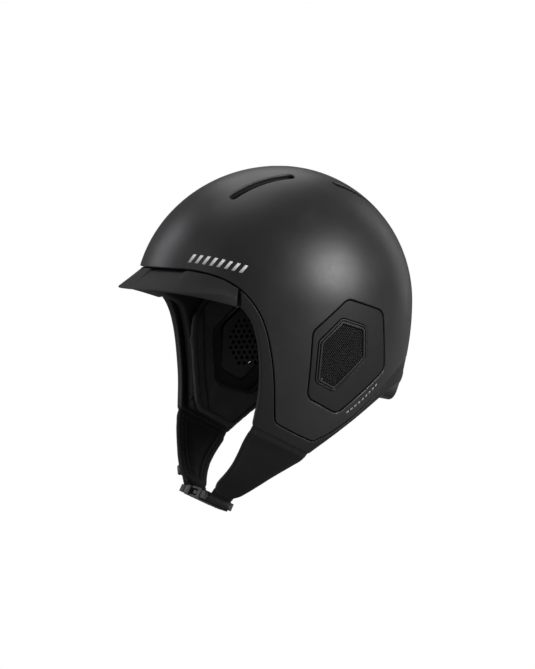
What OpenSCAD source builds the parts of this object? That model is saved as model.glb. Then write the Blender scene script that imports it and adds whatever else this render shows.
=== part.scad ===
// Full-cut water sports helmet: hard shell, foam liner, soft peak, ear covers,
// nape fit dial and a neoprene chin strap with a side-release buckle.
// Frame: front faces -Y, wearer's left is +X, up is +Z, origin in the middle of
// the head cavity at the widest level of the shell. Millimetres.

/* [Shell] */
// Half width of the shell at its widest level
half_w = 97; // [94:1:100]
// Distance from the widest station to the brow
front_r = 127; // [124:1:130]
// Distance from the widest station to the nape
back_r = 119; // [116:1:122]
// Height of the crown above the widest level
dome_h = 115.6; // [113:0.2:118]
// Wall thickness of the hard shell
shell_t = 2.6; // [2.2:0.1:2.8]
// Gap between neighbouring panels
gap = 0.5; // [0.3:0.05:0.6]

/* [Vents] */
// Half width of a vent slot
vent_r = 3.3; // [2.5:0.1:3.8]

/* [Liner] */
// Depth of the liner's inner face below the outer surface
liner_in = 15.5; // [15:0.1:16]
// Depth of the comfort pads' inner face below the outer surface
pad_in = 20.5; // [19.5:0.1:21.5]

/* [Peak] */
// How far the soft peak stands out at its centre
peak_reach = 22; // [14:1:24]

/* [Fit dial] */
// Radius of the dial knob
knob_r = 12.3; // [11:0.1:12.3]
// Teeth on the dial pinion
pinion_teeth = 10; // [10:1:10]

/* [Chin strap] */
// Width of the strap webbing
web_w = 20; // [18:1:20]

/* [Hidden] */
$fn = 48;
yw = 4;             // widest station along Y
nt = 40;            // facets round the body
side_taper = 18;    // side walls close in by this much at z = -130
front_taper = 6;
nape_taper = 24;    // nape closes in by this much at z = -100

// ---- body surface -------------------------------------------------------
function sq(v) = v * v;
function dome_s(z, d) = z > 0 ? sqrt(max(0, 1 - sq(z / (dome_h + d)))) : 1;
function zn(z) = max(0, -z);
function ra(z, d) = (half_w + d) * dome_s(z, d) - side_taper * sq(zn(z) / 130);
function rf(z, d) = (front_r + d) * dome_s(z, d) - front_taper * sq(zn(z) / 130);
function rb(z, d) = (back_r + d) * dome_s(z, d) - nape_taper * sq(zn(z) / 100);
function body_pt(t, z, d) = [ra(z, d) * cos(t), yw + (sin(t) < 0 ? rf(z, d) : rb(z, d)) * sin(t), z];
function levels(d) = concat([for (z = [-135 : 13.5 : -1]) z], [for (a = [0 : 11.25 : 80]) (dome_h + d) * sin(a)]);
// x of the side wall at a side-view point
function wall_x(y, z, d) = ra(z, d) * sqrt(max(0, 1 - sq((y - yw) / (y < yw ? rf(z, d) : rb(z, d)))));
// y of the front wall at a given x
function front_y(x, z, d) = yw - rf(z, d) * sqrt(max(0, 1 - sq(x / ra(z, d))));

module body(d) {
    lv = levels(d);
    n = len(lv);
    pts = concat([for (z = lv) for (j = [0 : nt - 1]) body_pt(360 * j / nt, z, d)], [[0, yw, dome_h + d]]);
    side = [for (i = [0 : n - 2]) for (j = [0 : nt - 1]) for (k = [0, 1])
        let (a = i * nt + j, b = a + nt, c = (i + 1) * nt + (j + 1) % nt, e = i * nt + (j + 1) % nt)
        k == 0 ? [a, b, c] : [a, c, e]];
    top = [for (j = [0 : nt - 1]) [(n - 1) * nt + j, n * nt, (n - 1) * nt + (j + 1) % nt]];
    polyhedron(points = pts, faces = concat(side, top, [[for (j = [0 : nt - 1]) j]]), convexity = 6);
}

// a side-view outline [y, z] swept along X from x0 to x1
module side_cut(pts, x0 = -150, x1 = 150) {
    translate([x0, 0, 0]) rotate([90, 0, 90]) linear_extrude(x1 - x0) polygon(pts);
}

// lower boundary of the hard shell, brow to nape
shell_edge = [[-119, 31.5], [-110, 31.3], [-102, 30.6], [-91.5, 28], [-81, 23.6], [-71.3, 16.6], [-62.8, 6.6],
    [-56, -5], [-51, -19], [-47.6, -34], [-45, -50], [-43.4, -66], [-42, -85], [-41.2, -90], [-38, -95.2],
    [-30, -99.6], [-22.4, -103.4], [-8, -110.6], [-4.5, -111.8], [-1, -111.2], [3, -109], [22.6, -96],
    [41.7, -83.2], [60.7, -70.6], [74, -61.8], [87.4, -54], [100, -49], [112, -46.5]];
// lower boundary of the whole helmet: face opening, cheek, bottom edge, nape
rim_edge = [[-120, 12.5], [-101, 11], [-87, 6.1], [-71.2, 1.4], [-66.8, -4.5], [-62.5, -12.8], [-59.2, -24],
    [-57.2, -36], [-56, -52], [-55.8, -68], [-56.8, -80], [-58.2, -90], [-58.6, -94], [-57.2, -97.4],
    [-43.6, -104.6], [-29.4, -111.8], [-14, -119.6], [-10.5, -121], [-7.4, -120.4], [1.9, -114.4], [23, -100.4],
    [47.6, -86.4], [62, -78.8], [75, -73.6], [88, -70], [100, -68], [112, -67]];
function region(e) = concat([[-170, e[0][1]]], e, [[170, e[len(e) - 1][1]], [170, 170], [-170, 170]]);
shell_region = region(shell_edge);
rim_region = region(rim_edge);

// ---- polygon helpers ----------------------------------------------------
function unit(v) = v / norm(v);
function corner(a, p, b, r, n) = let (u = unit(a - p), v = unit(b - p), th = acos(u * v), l = r / tan(th / 2),
    s = p + u * l, e = p + v * l) [for (i = [0 : n]) let (q = i / n) (1 - q) * (1 - q) * s + 2 * q * (1 - q) * p + q * q * e];
function rounded(pts, r, n = 5) = let (m = len(pts)) [for (i = [0 : m - 1])
    each corner(pts[(i + m - 1) % m], pts[i], pts[(i + 1) % m], r, n)];
function about(pts, c, f) = [for (p = pts) c + (p - c) * f];

// ear panel outlines in the side view
hex_out = [[18.8, 7], [57.8, -4.5], [62.8, -54.5], [12.2, -88.8], [-16.2, -73.8], [-13.8, -19]];
hex_in = [[13, -8.4], [39, -16.2], [40, -43.8], [8.2, -70.6], [-10.2, -61], [-8.3, -27]];
hex_oc = [21, -40];
hex_ic = [15, -40];
function ear_hex(f, r) = rounded(about(hex_out, hex_oc, f), r);
function grille_hex(f, r) = rounded(about(hex_in, hex_ic, f), r);

// ---- vents --------------------------------------------------------------
vent_paths = [[[38.5, -57], [37.6, -30], [37.2, -4]], [[40, 38], [37.6, 60], [31, 86]],
    [[-38.5, -57], [-37.6, -30], [-37.2, -4]], [[-40, 38], [-37.6, 60], [-31, 86]], [[0, 3], [0, 25], [0, 48]]];
// outline of a rounded slot that follows a path of points
function slot(p, r, n = 8) = let (m = len(p), d = [for (i = [0 : m - 1]) let (v = p[min(i + 1, m - 1)] - p[max(i - 1, 0)]) atan2(v[1], v[0])])
    concat([for (i = [0 : m - 1]) p[i] + r * [cos(d[i] + 90), sin(d[i] + 90)]],
        [for (k = [1 : n - 1]) p[m - 1] + r * [cos(d[m - 1] + 90 - 180 * k / n), sin(d[m - 1] + 90 - 180 * k / n)]],
        [for (i = [m - 1 : -1 : 0]) p[i] + r * [cos(d[i] - 90), sin(d[i] - 90)]],
        [for (k = [1 : n - 1]) p[0] + r * [cos(d[0] - 90 - 180 * k / n), sin(d[0] - 90 - 180 * k / n)]]);
module vents(r) {
    for (p = vent_paths) translate([0, 0, 40]) linear_extrude(100) polygon(slot(p, r));
}

// ---- frames -------------------------------------------------------------
arc_c = [0, 27.5, -34.8];   // centre of the fit band's arc
arc_tilt = -20;
module dial_frame() { translate(arc_c) rotate([arc_tilt, 0, 0]) children(); }
// a cylinder along the dial's axis from t0 to t1, with its axis at (x, v)
module axial(r, t0, t1, x = 0, v = 0) { translate([x, t1, v]) rotate([90, 0, 0]) cylinder(r = r, h = t1 - t0); }
// a sector of ring about the band's centre: radius r0..r1, angle f0..f1 from the nape towards +X, height v0..v1
module sector(r0, r1, f0, f1, v0, v1) {
    rotate([0, 0, 90 - f1]) rotate_extrude(angle = f1 - f0, $fn = 120) translate([r0, v0]) square([r1 - r0, v1 - v0]);
}
strap_tilt = -26.565;
module strap_frame() { rotate([strap_tilt, 0, 0]) children(); }

// ---- shell, trim, liner -------------------------------------------------
module outer_shell() color([0.10, 0.10, 0.105]) difference() {
    intersection() {
        body(0);
        translate([0, gap * 0.9, 0]) side_cut(shell_region);
        translate([0, 0, gap * 0.9]) side_cut(shell_region);
    }
    body(-shell_t);
    side_cut(ear_hex(1, 9));
    vents(vent_r);
}

module nape_notch(m = 0) dial_frame() translate([-20 - m, 60, -45]) cube([40 + 2 * m, 60, 60.5 + m]);

module edge_trim() color([0.085, 0.085, 0.088]) difference() {
    intersection() { body(-0.3); side_cut(rim_region); translate([-150, -70.4, -150]) cube([300, 300, 300]); }
    body(-2.8);
    side_cut(shell_region);
    nape_notch(0.3);
}

module rivet_bores(x0, x1, r) for (s = [-1, 1]) for (p = [[-46, -87], [-8, -103]])
    translate([s > 0 ? x0 : -x1, p[0], p[1]]) rotate([0, 90, 0]) cylinder(r = r, h = x1 - x0);

module foam_liner() color([0.12, 0.12, 0.12]) difference() {
    intersection() { body(-shell_t - 0.5); translate([1.6, 1.6, 1.2]) side_cut(rim_region); }
    body(-liner_in);
    vents(vent_r);
    side_cut(grille_hex(1.16, 5));
    nape_notch(0.6);
    // ledge the peak sits on
    difference() { translate([-150, -170, -60]) cube([300, 99.8, 98]); body(-6.8); side_cut(shell_region); }
    for (x = [-44, 0, 44]) translate([x, x == 0 ? -107.5 : -90, 22]) rotate([90, 0, 0]) cylinder(r = 3, h = 30);
    for (s = [0, 1]) mirror([s, 0, 0]) for (p = ear_peg_at) translate([60, p[0], p[1]]) rotate([0, 90, 0]) cylinder(r = 2.5, h = 60);
    rivet_bores(50, 100, 2.6);
}

// ---- peak ---------------------------------------------------------------
function edge_z(y) = lookup(y, shell_edge);
function brow_y(x, d, y, k) = k == 0 ? y : brow_y(x, d, front_y(x, edge_z(y), d), k - 1);
peak_x = 82;
function peak_ring(x) = let (
    q = min(1, abs(x) / 78.5), y0 = brow_y(x, 0, -110, 8), z0 = edge_z(y0) - gap,
    zt = 1.4 + 11.2 * (1 - pow(q, 2.2)), a = ra(z0, 0), b = rf(z0, 0),
    h = unit([x / sq(a), (y0 - yw) / sq(b)]), p = peak_reach * pow(max(0, 1 - q * q), 0.85) + 0.2,
    yt = front_y(x, zt, 0), ui = front_y(x * 0.925, z0, -6.2), li = front_y(x * 0.925, zt, -6.2))
    [[x * 0.925, ui, z0], [x, y0 - 0.1, z0], [x + h[0] * p, yt + h[1] * p, zt + 3.4 * pow(max(0, 1 - q * q), 0.5) + (z0 - zt) * q * q * 0.6],
     [x + h[0] * p, yt + h[1] * p, zt], [x, yt, zt - 1.2 + q * 1.2], [x * 0.925, li, zt + 1.5 * (1 - q)]];
module peak() color([0.09, 0.09, 0.092]) difference() {
    intersection() {
        polyhedron(points = [for (i = [0 : 32]) each peak_ring(peak_x * sin(90 * (i - 16) / 16))],
            faces = concat([for (i = [0 : 31]) for (j = [0 : 5]) for (k = [0, 1])
                let (a = i * 6 + j, b = a + 6, c = (i + 1) * 6 + (j + 1) % 6, e = i * 6 + (j + 1) % 6)
                k == 0 ? [a, b, c] : [a, c, e]], [[for (j = [0 : 5]) j]], [[for (j = [0 : 5]) 32 * 6 + 5 - j]]), convexity = 6);
        translate([-150, -200, -100]) cube([300, 129.1, 300]);
    }
    translate([0, -0.25, -0.35]) side_cut(shell_region);
    translate([-24, -135, 27.6]) cube([48, 19, 8]);
    for (x = [-44, 0, 44]) translate([x, -80, 22]) rotate([90, 0, 0]) cylinder(r = 2.5, h = x == 0 ? 37 : 22);
}

module peak_pegs() color([0.16, 0.16, 0.16]) for (x = [-44, 0, 44]) translate([x, x == 0 ? -108 : -91, 22]) rotate([90, 0, 0])
    cylinder(r = 2.4, h = x == 0 ? 8.6 : 10);

// ---- ear covers ---------------------------------------------------------
ear_peg_at = [[34, -4.2], [38, -66], [-2, -74.5]];
module ear_cover() color([0.095, 0.095, 0.10]) difference() {
    intersection() { body(-0.35); side_cut(ear_hex(0.985, 8.6), 30, 150); }
    body(-2.9);
    side_cut(grille_hex(1.0, 4));
}
module ear_frame() color([0.12, 0.12, 0.12]) difference() {
    intersection() { body(0.2); side_cut(grille_hex(0.985, 4), 30, 150); }
    body(-2.9);
    side_cut(grille_hex(0.80, 3.5));
}
module ear_mesh() color([0.05, 0.05, 0.05]) difference() {
    intersection() { body(-1.6); side_cut(grille_hex(0.79, 3.4), 30, 150); }
    body(-2.6);
}
module ear_pegs() color([0.16, 0.16, 0.16]) for (p = ear_peg_at)
    translate([wall_x(p[0], p[1], -3.2) - 8, p[0], p[1]]) rotate([0, 90, 0]) cylinder(r = 2, h = 9);

module ear_vent_plate() color([0.07, 0.07, 0.07]) difference() {
    side_cut(grille_hex(1.12, 4.6), 78.2, 80.2);
    for (i = [-4 : 4]) for (j = [-5 : 5]) {
        p = [15 + i * 5.4 + (j % 2) * 2.7, -40 + j * 4.7];
        if (abs(p[0] - 15) < 19 && abs(p[1] + 40) < 22 && norm([p[0] - 15, p[1] + 40]) < 23)
            translate([70, p[0], p[1]]) rotate([0, 90, 0]) cylinder(r = 1.6, h = 20, $fn = 24);
    }
}

// ---- comfort pads -------------------------------------------------------
cheek_outline = [[-53.4, -34], [-53.2, -90], [-50, -95.6], [-14, -113.6], [-9.5, -114.6], [-4, -112], [22, -95],
    [38, -85.6], [42, -80], [43, -30], [36, -4], [20, 6], [-30, 2], [-50, -16]];
module cheek_pad() color([0.10, 0.10, 0.10]) difference() {
    intersection() { body(-liner_in - 0.5); side_cut(rounded(cheek_outline, 2.2, 3), 20, 150); }
    body(-pad_in - 1);
    side_cut(grille_hex(1.42, 7));
}
module pad_slab(x0, x1, y0, y1, z0, z1) color([0.13, 0.13, 0.13]) difference() {
    intersection() { body(-liner_in - 0.5); translate([x0, y0, z0]) cube([x1 - x0, y1 - y0, z1 - z0]); }
    body(-pad_in);
}
module brow_pad() pad_slab(-58, 58, -130, -60, 16, 40);
module crown_pad() difference() { pad_slab(-22, 22, -62, 74, 44, 120); vents(vent_r + 1); }
module rear_pad() pad_slab(-46, 46, 60, 130, -22, 26);
module temple_pad() pad_slab(40, 110, -46, 58, 10, 42);

// ---- chin strap ---------------------------------------------------------
// outer face of the strap in its own frame: [x, n], n measured down and forward
sheet = [[77, 118.4], [73.8, 122.8], [70.4, 128], [66.5, 133.8], [62, 140], [57, 146.5], [51, 153], [44, 159.4], [36.5, 165.2], [29, 170]];
outline = [[-8.5, 112], [-8.2, 120], [-6.8, 128], [-4.3, 137], [-2.2, 145], [-0.5, 154], [0.8, 162], [3, 169], [5.4, 180],
    [26, 180], [27, 169], [28.4, 162], [30.4, 154], [33.2, 145], [36.6, 137], [41, 128], [44.6, 121], [46, 112]];
hinge_x = 74.8;
hinge_n = 115.7;
strap_w = 15.5;   // centre of the webbing across the strap
function seg_n(i) = let (m = len(sheet), a = sheet[max(0, i - 1)], b = sheet[min(m - 1, i + 1)], v = unit(b - a)) [v[1], -v[0]];
function off_sheet(d, i0 = 0, i1 = 9) = [for (i = [i0 : i1]) sheet[i] + seg_n(i) * d];
function rev(l) = [for (i = [len(l) - 1 : -1 : 0]) l[i]];
// a band between two offsets of the sheet line, from width station w0 to w1
module sheet_band(line, w0, w1) strap_frame() translate([0, w1, 0]) rotate([90, 0, 0])
    linear_extrude(w1 - w0) polygon([for (p = line) [p[0], -p[1]]]);
module strap_layer(d0, d1) intersection() {
    sheet_band(concat(off_sheet(d0), rev(off_sheet(d1))), -20, 60);
    strap_frame() translate([10, 0, 0]) rotate([90, 0, 90]) linear_extrude(80) polygon([for (p = outline) [p[0], -p[1]]]);
}
module welt_space(r) strap_frame() translate([hinge_x, 60, -hinge_n]) rotate([90, 0, 0]) cylinder(r = r, h = 90);
module strap_outer() color([0.075, 0.075, 0.078]) difference() { strap_layer(0, -1.7); welt_space(2.4); }
module strap_lining() color([0.06, 0.06, 0.062]) difference() { strap_layer(-3.5, -5); welt_space(2.4); }
bar_x = 22.5;
bar_n = 175.4;
module strap_webbing() color([0.08, 0.08, 0.08]) {
    hw = web_w / 2;
    // flat run inside the strap
    difference() {
        sheet_band(concat(off_sheet(-1.9), [[25.6, 172.1]], [[24.9, 173.3]], rev(off_sheet(-3.3))), strap_w - hw, strap_w + hw);
        welt_space(2.5);
    }
    // loop round the buckle bar
    difference() {
        strap_frame() translate([bar_x, strap_w + hw, -bar_n]) rotate([90, 0, 0]) cylinder(r = 3.25, h = 2 * hw);
        strap_frame() translate([bar_x, strap_w + hw + 1, -bar_n]) rotate([90, 0, 0]) cylinder(r = 1.9, h = 2 * hw + 2);
    }
}
module strap_welt() color([0.07, 0.07, 0.07]) strap_frame()
    translate([hinge_x, 44.6, -hinge_n]) rotate([90, 0, 0]) cylinder(r = 2.3, h = 52);

module strap_anchor_rivets() color("silver") for (s = [0, 1]) mirror([s, 0, 0]) for (p = [[-46, -87], [-8, -103]]) {
    x = wall_x(p[0], p[1], -liner_in);
    translate([x + 0.9, p[0], p[1]]) rotate([0, 90, 0]) cylinder(r = 2.2, h = 7.4);
}

// free end of the webbing, folded back along the outside of the right strap
module webbing_tail() color([0.08, 0.08, 0.08]) mirror([1, 0, 0])
    sheet_band(concat(off_sheet(1.7, 5, 9), [[27.2, 174.1]], [[26.5, 172.8]], rev(off_sheet(0.4, 5, 9))), strap_w - web_w / 2, strap_w + web_w / 2);
slide_dir = unit([-14.5, 12.2]);   // run of the strap between sheet points 6 and 8, towards the buckle
module strap_slider() color([0.11, 0.11, 0.11]) mirror([1, 0, 0]) strap_frame()
    translate([44, 0, -159.4]) rotate([0, -atan2(-slide_dir[1], slide_dir[0]), 0]) {
        // local x runs along the strap towards the buckle, z points away from the wearer
        for (s = [-1, 1]) translate([-5, strap_w + s * 11.9 - 1.2, 0.35]) cube([10, 2.4, 3.2]);
        for (x = [-3.8, 0, 3.8]) translate([x, strap_w + 12, 2.7]) rotate([90, 0, 0]) cylinder(r = 0.8, h = 24);
    }

// ---- buckle, built in the strap frame: x along the strap, y across, z = -n
module buckle_box(x0, x1, w0, w1, n0, n1) translate([x0, strap_w + w0, -n1]) cube([x1 - x0, w1 - w0, n1 - n0]);
module across(x, n, r, w0, w1) translate([x, strap_w + w1, -n]) rotate([90, 0, 0]) cylinder(r = r, h = w1 - w0);
module buckle_socket() color([0.10, 0.10, 0.10]) strap_frame() {
    difference() {
        union() {
            buckle_box(-4, 16.4, -15, 15, 170.9, 179.9);
            buckle_box(16.3, 24, -14.4, -11, 172.2, 178.6);
            buckle_box(16.3, 24, 11, 14.4, 172.2, 178.6);
        }
        buckle_box(-5, 12.6, -12.2, 12.2, 172.5, 178.3);
        buckle_box(-5, 10.4, -16, 16, 172.5, 178.3);
        translate([-4, strap_w, -175.4]) rotate([0, 45, 0]) cube([4.9, 40, 4.9], center = true);
        for (s = [-1, 1]) translate([-4, strap_w + s * 18.4, -200]) cylinder(r = 4.6, h = 60);
    }
    across(bar_x, bar_n, 1.6, -11.2, 11.2);
}
module buckle_plug() color([0.13, 0.13, 0.135]) strap_frame() {
    difference() {
        union() {
            buckle_box(-16.4, -5, -15, 15, 171.4, 179.4);
            buckle_box(-24, -16.3, -14.4, -11, 172.2, 178.6);
            buckle_box(-24, -16.3, 11, 14.4, 172.2, 178.6);
        }
        for (s = [-1, 1]) translate([-4.6, strap_w + s * 8.4, -190]) cylinder(r = 1.72, h = 30);
        for (s = [-1, 1]) buckle_box(-5.1, -3, s * 8.4 - 3, s * 8.4 + 3, 173.6, 177.2);
        for (s = [-1, 1]) translate([-14.5, strap_w + s * 19, -200]) cylinder(r = 6.2, h = 60);
    }
    across(-bar_x, bar_n, 1.6, -11.2, 11.2);
    buckle_box(-5.2, 11, -3.4, 3.4, 174, 176.8);
}
// s is -1 for the front prong and 1 for the rear one
module prong(s) color([0.13, 0.13, 0.135]) strap_frame() translate([0, strap_w, 0]) {
    translate([-4.6, s * 8.4, -176.8]) cylinder(r = 1.6, h = 2.8);
    translate([0, 0, -176.8]) linear_extrude(2.8) polygon([for (p = [[-4.4, 7.2], [9.6, 6.6], [10, 8], [8.6, 11.6], [6, 13.6], [1.4, 13.9],
        [0.2, 12.6], [-0.6, 10], [-4.4, 9.6]]) [p[0], s * p[1]]]);
}

// ---- fit dial -----------------------------------------------------------
pm = 0.8;                          // tooth size: pitch radius over half the tooth count
pr = pm * pinion_teeth / 2;
rack_r = 68;                       // radius of the band's middle
pitch_a = 360 * pm / (2 * rack_r); // angle between rack teeth
function inv(a) = tan(a) * 180 / PI - a;
function flank(r) = let (b = pr * cos(20), h = 0.82 / (2 * pr) * 180 / PI) h + inv(20) - inv(r > b ? acos(b / r) : 0);
pin_r = [3.1, 3.5, 3.8, 4.0, 4.2, 4.4, 4.55];
module dial_pinion() color("gold") dial_frame() difference() {
    translate([0, 69.3, 0]) rotate([90, 0, 0]) linear_extrude(2.6)
        polygon([for (i = [0 : pinion_teeth - 1]) let (c = 90 + 360 * i / pinion_teeth) each concat(
            [for (k = [0 : 6]) let (a = c - flank(pin_r[k])) pin_r[k] * [cos(a), sin(a)]],
            [for (k = [6 : -1 : 0]) let (a = c + flank(pin_r[k])) pin_r[k] * [cos(a), sin(a)]])]);
    axial(1.85, 60, 80);
}
module dial_shaft() color("silver") dial_frame() {
    axial(1.8, 64.2, 73.2);
    axial(2.5, 73.05, 94);
}
module dial_knob() color([0.11, 0.11, 0.11]) dial_frame() difference() {
    union() { axial(knob_r, 89, 97); axial(knob_r - 1, 96.9, 98); axial(5, 84, 89.1); }
    axial(2.53, 80, 94.2);
    axial(4.6, 96.6, 99);
    axial(1.7, 94, 97);
    for (i = [0 : 23]) rotate([0, i * 15, 0]) axial(0.9, 90, 99, knob_r + 0.25, 0);
    for (i = [0 : 2]) rotate([0, 30 + i * 120, 0]) translate([6, 97.2, -1]) cube([4.4, 3, 2]);
}
module dial_screw() color("silver") dial_frame() difference() {
    union() { axial(4.2, 96.7, 97.8); axial(1.6, 94.3, 96.8); }
    translate([-2.6, 97.3, -0.4]) cube([5.2, 2, 0.8]);
    translate([-0.4, 97.3, -2.6]) cube([0.8, 2, 5.2]);
}
housing_out = rounded([[-19, -23], [19, -23], [19, 15], [-19, 15]], 11, 8);
module dial_housing() color([0.09, 0.09, 0.09]) dial_frame() difference() {
    translate([0, 92.5, 0]) rotate([90, 0, 0]) linear_extrude(20.1) polygon(housing_out);
    axial(13, 88.6, 100);
    axial(5.4, 83.6, 90);
    axial(2.57, 60, 100);
    for (s = [-1, 1]) for (v = [-11.8, 11.8]) axial(1.36, 70, 78, s * 14.5, v);
}
case_f = 17;
module gear_case() color([0.15, 0.15, 0.15]) dial_frame() difference() {
    union() {
        sector(69.5, 72.1, -case_f, case_f, -13.4, 13.4);
        sector(66.5, 69.6, -case_f, case_f, 10.2, 13.4);
        sector(66.5, 69.6, -case_f, case_f, -13.4, -10.2);
    }
    axial(1.86, 60, 80);
    for (s = [-1, 1]) for (v = [-11.8, 11.8]) axial(1.5, 50, 80, s * 14.5, v);
}
module gear_cover() color([0.15, 0.15, 0.15]) dial_frame() difference() {
    sector(64, 66.4, -case_f, case_f, -13.4, 13.4);
    axial(1.86, 60, 80);
    for (s = [-1, 1]) for (v = [-11.8, 11.8]) axial(1.5, 50, 80, s * 14.5, v);
}
module gear_screws() color("silver") dial_frame() for (s = [-1, 1]) for (v = [-11.8, 11.8]) {
    axial(1.3, 61.6, 77.4, s * 14.5, v);
}
// side 1 is the left band, with its rack above the pinion; side -1 is the right band, below it
module fit_band(side) color([0.14, 0.14, 0.14]) dial_frame() rotate([0, side > 0 ? 0 : 180, 0]) {
    difference() {
        union() {
            difference() {
                sector(67, 69, -14, 61, -9, 9.8);
                sector(65, 71, -16, 33.5, -11, 4.95);
            }
            for (k = [-5.5 : 1 : 5.5]) rotate([0, 0, -k * pitch_a]) translate([0, 68.8, 0]) rotate([90, 0, 0]) linear_extrude(1.6)
                polygon([[-0.5 - 1.15 * tan(20), 5.15], [0.5 + 1.15 * tan(20), 5.15], [0.5 - 0.6 * tan(20), 3.4], [-0.5 + 0.6 * tan(20), 3.4]]);
        }
        for (f = [41, 50]) rotate([0, 0, -f]) translate([0, 60, 0.4]) rotate([-90, 0, 0]) cylinder(r = 3.6, h = 20);
        rotate([0, 0, -59]) translate([0, 60, 0.4]) rotate([-90, 0, 0]) cylinder(r = 1.6, h = 20);
    }
}
module nape_pad() color([0.12, 0.12, 0.12]) dial_frame() difference() {
    sector(59.6, 63.8, -15, 15, -9.6, 9.6);
    axial(2.6, 58, 80);
}

outer_shell();
edge_trim();
foam_liner();
peak();
peak_pegs();
ear_cover();  // ear_cover_left
ear_frame();  // ear_frame_left
ear_mesh();  // ear_mesh_left
ear_pegs();  // ear_pegs_left
mirror([1, 0, 0]) ear_cover();  // ear_cover_right
mirror([1, 0, 0]) ear_frame();  // ear_frame_right
mirror([1, 0, 0]) ear_mesh();  // ear_mesh_right
mirror([1, 0, 0]) ear_pegs();  // ear_pegs_right
ear_vent_plate();  // ear_vent_plate_left
mirror([1, 0, 0]) ear_vent_plate();  // ear_vent_plate_right
cheek_pad();  // cheek_pad_left
mirror([1, 0, 0]) cheek_pad();  // cheek_pad_right
brow_pad();
crown_pad();
rear_pad();
temple_pad();  // temple_pad_left
mirror([1, 0, 0]) temple_pad();  // temple_pad_right
strap_outer();  // strap_outer_left
strap_webbing();  // strap_webbing_left
strap_lining();  // strap_lining_left
strap_welt();  // strap_welt_left
mirror([1, 0, 0]) strap_outer();  // strap_outer_right
mirror([1, 0, 0]) strap_webbing();  // strap_webbing_right
mirror([1, 0, 0]) strap_lining();  // strap_lining_right
mirror([1, 0, 0]) strap_welt();  // strap_welt_right
strap_anchor_rivets();
webbing_tail();
strap_slider();
buckle_socket();
buckle_plug();
prong(-1);  // buckle_prong_front
prong(1);  // buckle_prong_rear
dial_housing();
dial_knob();
dial_shaft();
dial_pinion();
dial_screw();
gear_case();
gear_cover();
gear_screws();
fit_band(1);  // fit_band_left
fit_band(-1);  // fit_band_right
nape_pad();
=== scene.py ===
import bpy, bmesh, math
import numpy as np
from mathutils import Vector, Matrix
from mathutils.geometry import delaunay_2d_cdt


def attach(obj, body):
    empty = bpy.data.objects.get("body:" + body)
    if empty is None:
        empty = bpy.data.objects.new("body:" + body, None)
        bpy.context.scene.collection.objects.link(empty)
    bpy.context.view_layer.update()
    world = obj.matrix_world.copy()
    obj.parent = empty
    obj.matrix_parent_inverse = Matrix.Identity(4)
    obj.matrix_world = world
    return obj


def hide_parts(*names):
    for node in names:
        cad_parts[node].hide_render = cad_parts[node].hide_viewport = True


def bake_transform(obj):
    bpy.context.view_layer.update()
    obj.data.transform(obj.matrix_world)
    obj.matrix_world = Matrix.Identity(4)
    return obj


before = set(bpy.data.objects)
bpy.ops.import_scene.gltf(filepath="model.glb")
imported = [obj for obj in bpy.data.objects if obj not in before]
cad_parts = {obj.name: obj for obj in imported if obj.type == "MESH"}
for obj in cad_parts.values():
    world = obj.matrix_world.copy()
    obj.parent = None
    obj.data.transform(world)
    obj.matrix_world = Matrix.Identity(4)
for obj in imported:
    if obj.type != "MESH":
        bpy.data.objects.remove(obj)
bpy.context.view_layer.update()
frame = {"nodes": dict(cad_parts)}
MM = 0.001

# ------------------------------------------------------------------ body surface (mm)
A0, BF0, BR0, C0, YW = 97.0, 127.0, 119.0, 115.6, 4.0
O = np.array([0.0, 5.0, -25.0])


def f_body(p, d=0.0):
    """Implicit body surface, zero on the surface offset outward by d. p is (n, 3)."""
    x, y, z = p[..., 0], p[..., 1], p[..., 2]
    A, BF, BR, C = A0 + d, BF0 + d, BR0 + d, C0 + d
    zn = np.minimum(z, 0)
    a = A - 18.0 * (zn / 130) ** 2
    b = np.where(y < YW, BF - 6.0 * (zn / 130) ** 2, BR - 24.0 * (zn / 100) ** 2)
    zp = np.maximum(z, 0)
    return (x / a) ** 2 + ((y - YW) / b) ** 2 + (zp / C) ** 2 - 1


def grad(p):
    g = np.zeros_like(p)
    h = 0.05
    for k in range(3):
        e = np.zeros(3)
        e[k] = h
        g[..., k] = f_body(p + e) - f_body(p - e)
    return g / np.maximum(np.linalg.norm(g, axis=-1, keepdims=True), 1e-12)


def project(p, d=0.0):
    """Moves points along their ray from O on to the surface at depth d (negative is inside)."""
    p = np.asarray(p, float)
    v = p - O
    lo, hi = np.full(p.shape[:-1], 0.2), np.full(p.shape[:-1], 2.2)
    for _ in range(44):
        m = (lo + hi) / 2
        inside = f_body(O + v * m[..., None], d) < 0
        lo = np.where(inside, m, lo)
        hi = np.where(inside, hi, m)
    return O + v * ((lo + hi) / 2)[..., None]


def to_uv(p):
    v = p - O
    v = v / np.linalg.norm(v, axis=-1, keepdims=True)
    phi = np.arccos(np.clip(v[..., 0], -1, 1))
    r = np.hypot(v[..., 1], v[..., 2])
    r = np.where(r < 1e-12, 1, r)
    return np.stack([phi * v[..., 1] / r, phi * v[..., 2] / r], -1)


def from_uv(uv):
    phi = np.hypot(uv[..., 0], uv[..., 1])
    s = np.where(phi < 1e-9, 1, np.sin(phi) / np.where(phi < 1e-9, 1, phi))
    n = np.stack([np.cos(phi), s * uv[..., 0], s * uv[..., 1]], -1)
    return project(O + 100 * n, 0.0)


def side(y, z, d=0.0):
    """Surface point on the left wall at a side-view (y, z)."""
    zn = min(z, 0)
    A, BF, BR, C = A0 + d, BF0 + d, BR0 + d, C0 + d
    a = A - 18 * (zn / 130) ** 2
    b = BF - 6 * (zn / 130) ** 2 if y < YW else BR - 24 * (zn / 100) ** 2
    q = 1 - ((y - YW) / b) ** 2 - (max(z, 0) / C) ** 2
    return np.array([a * math.sqrt(max(q, 0)), y, z])


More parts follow.
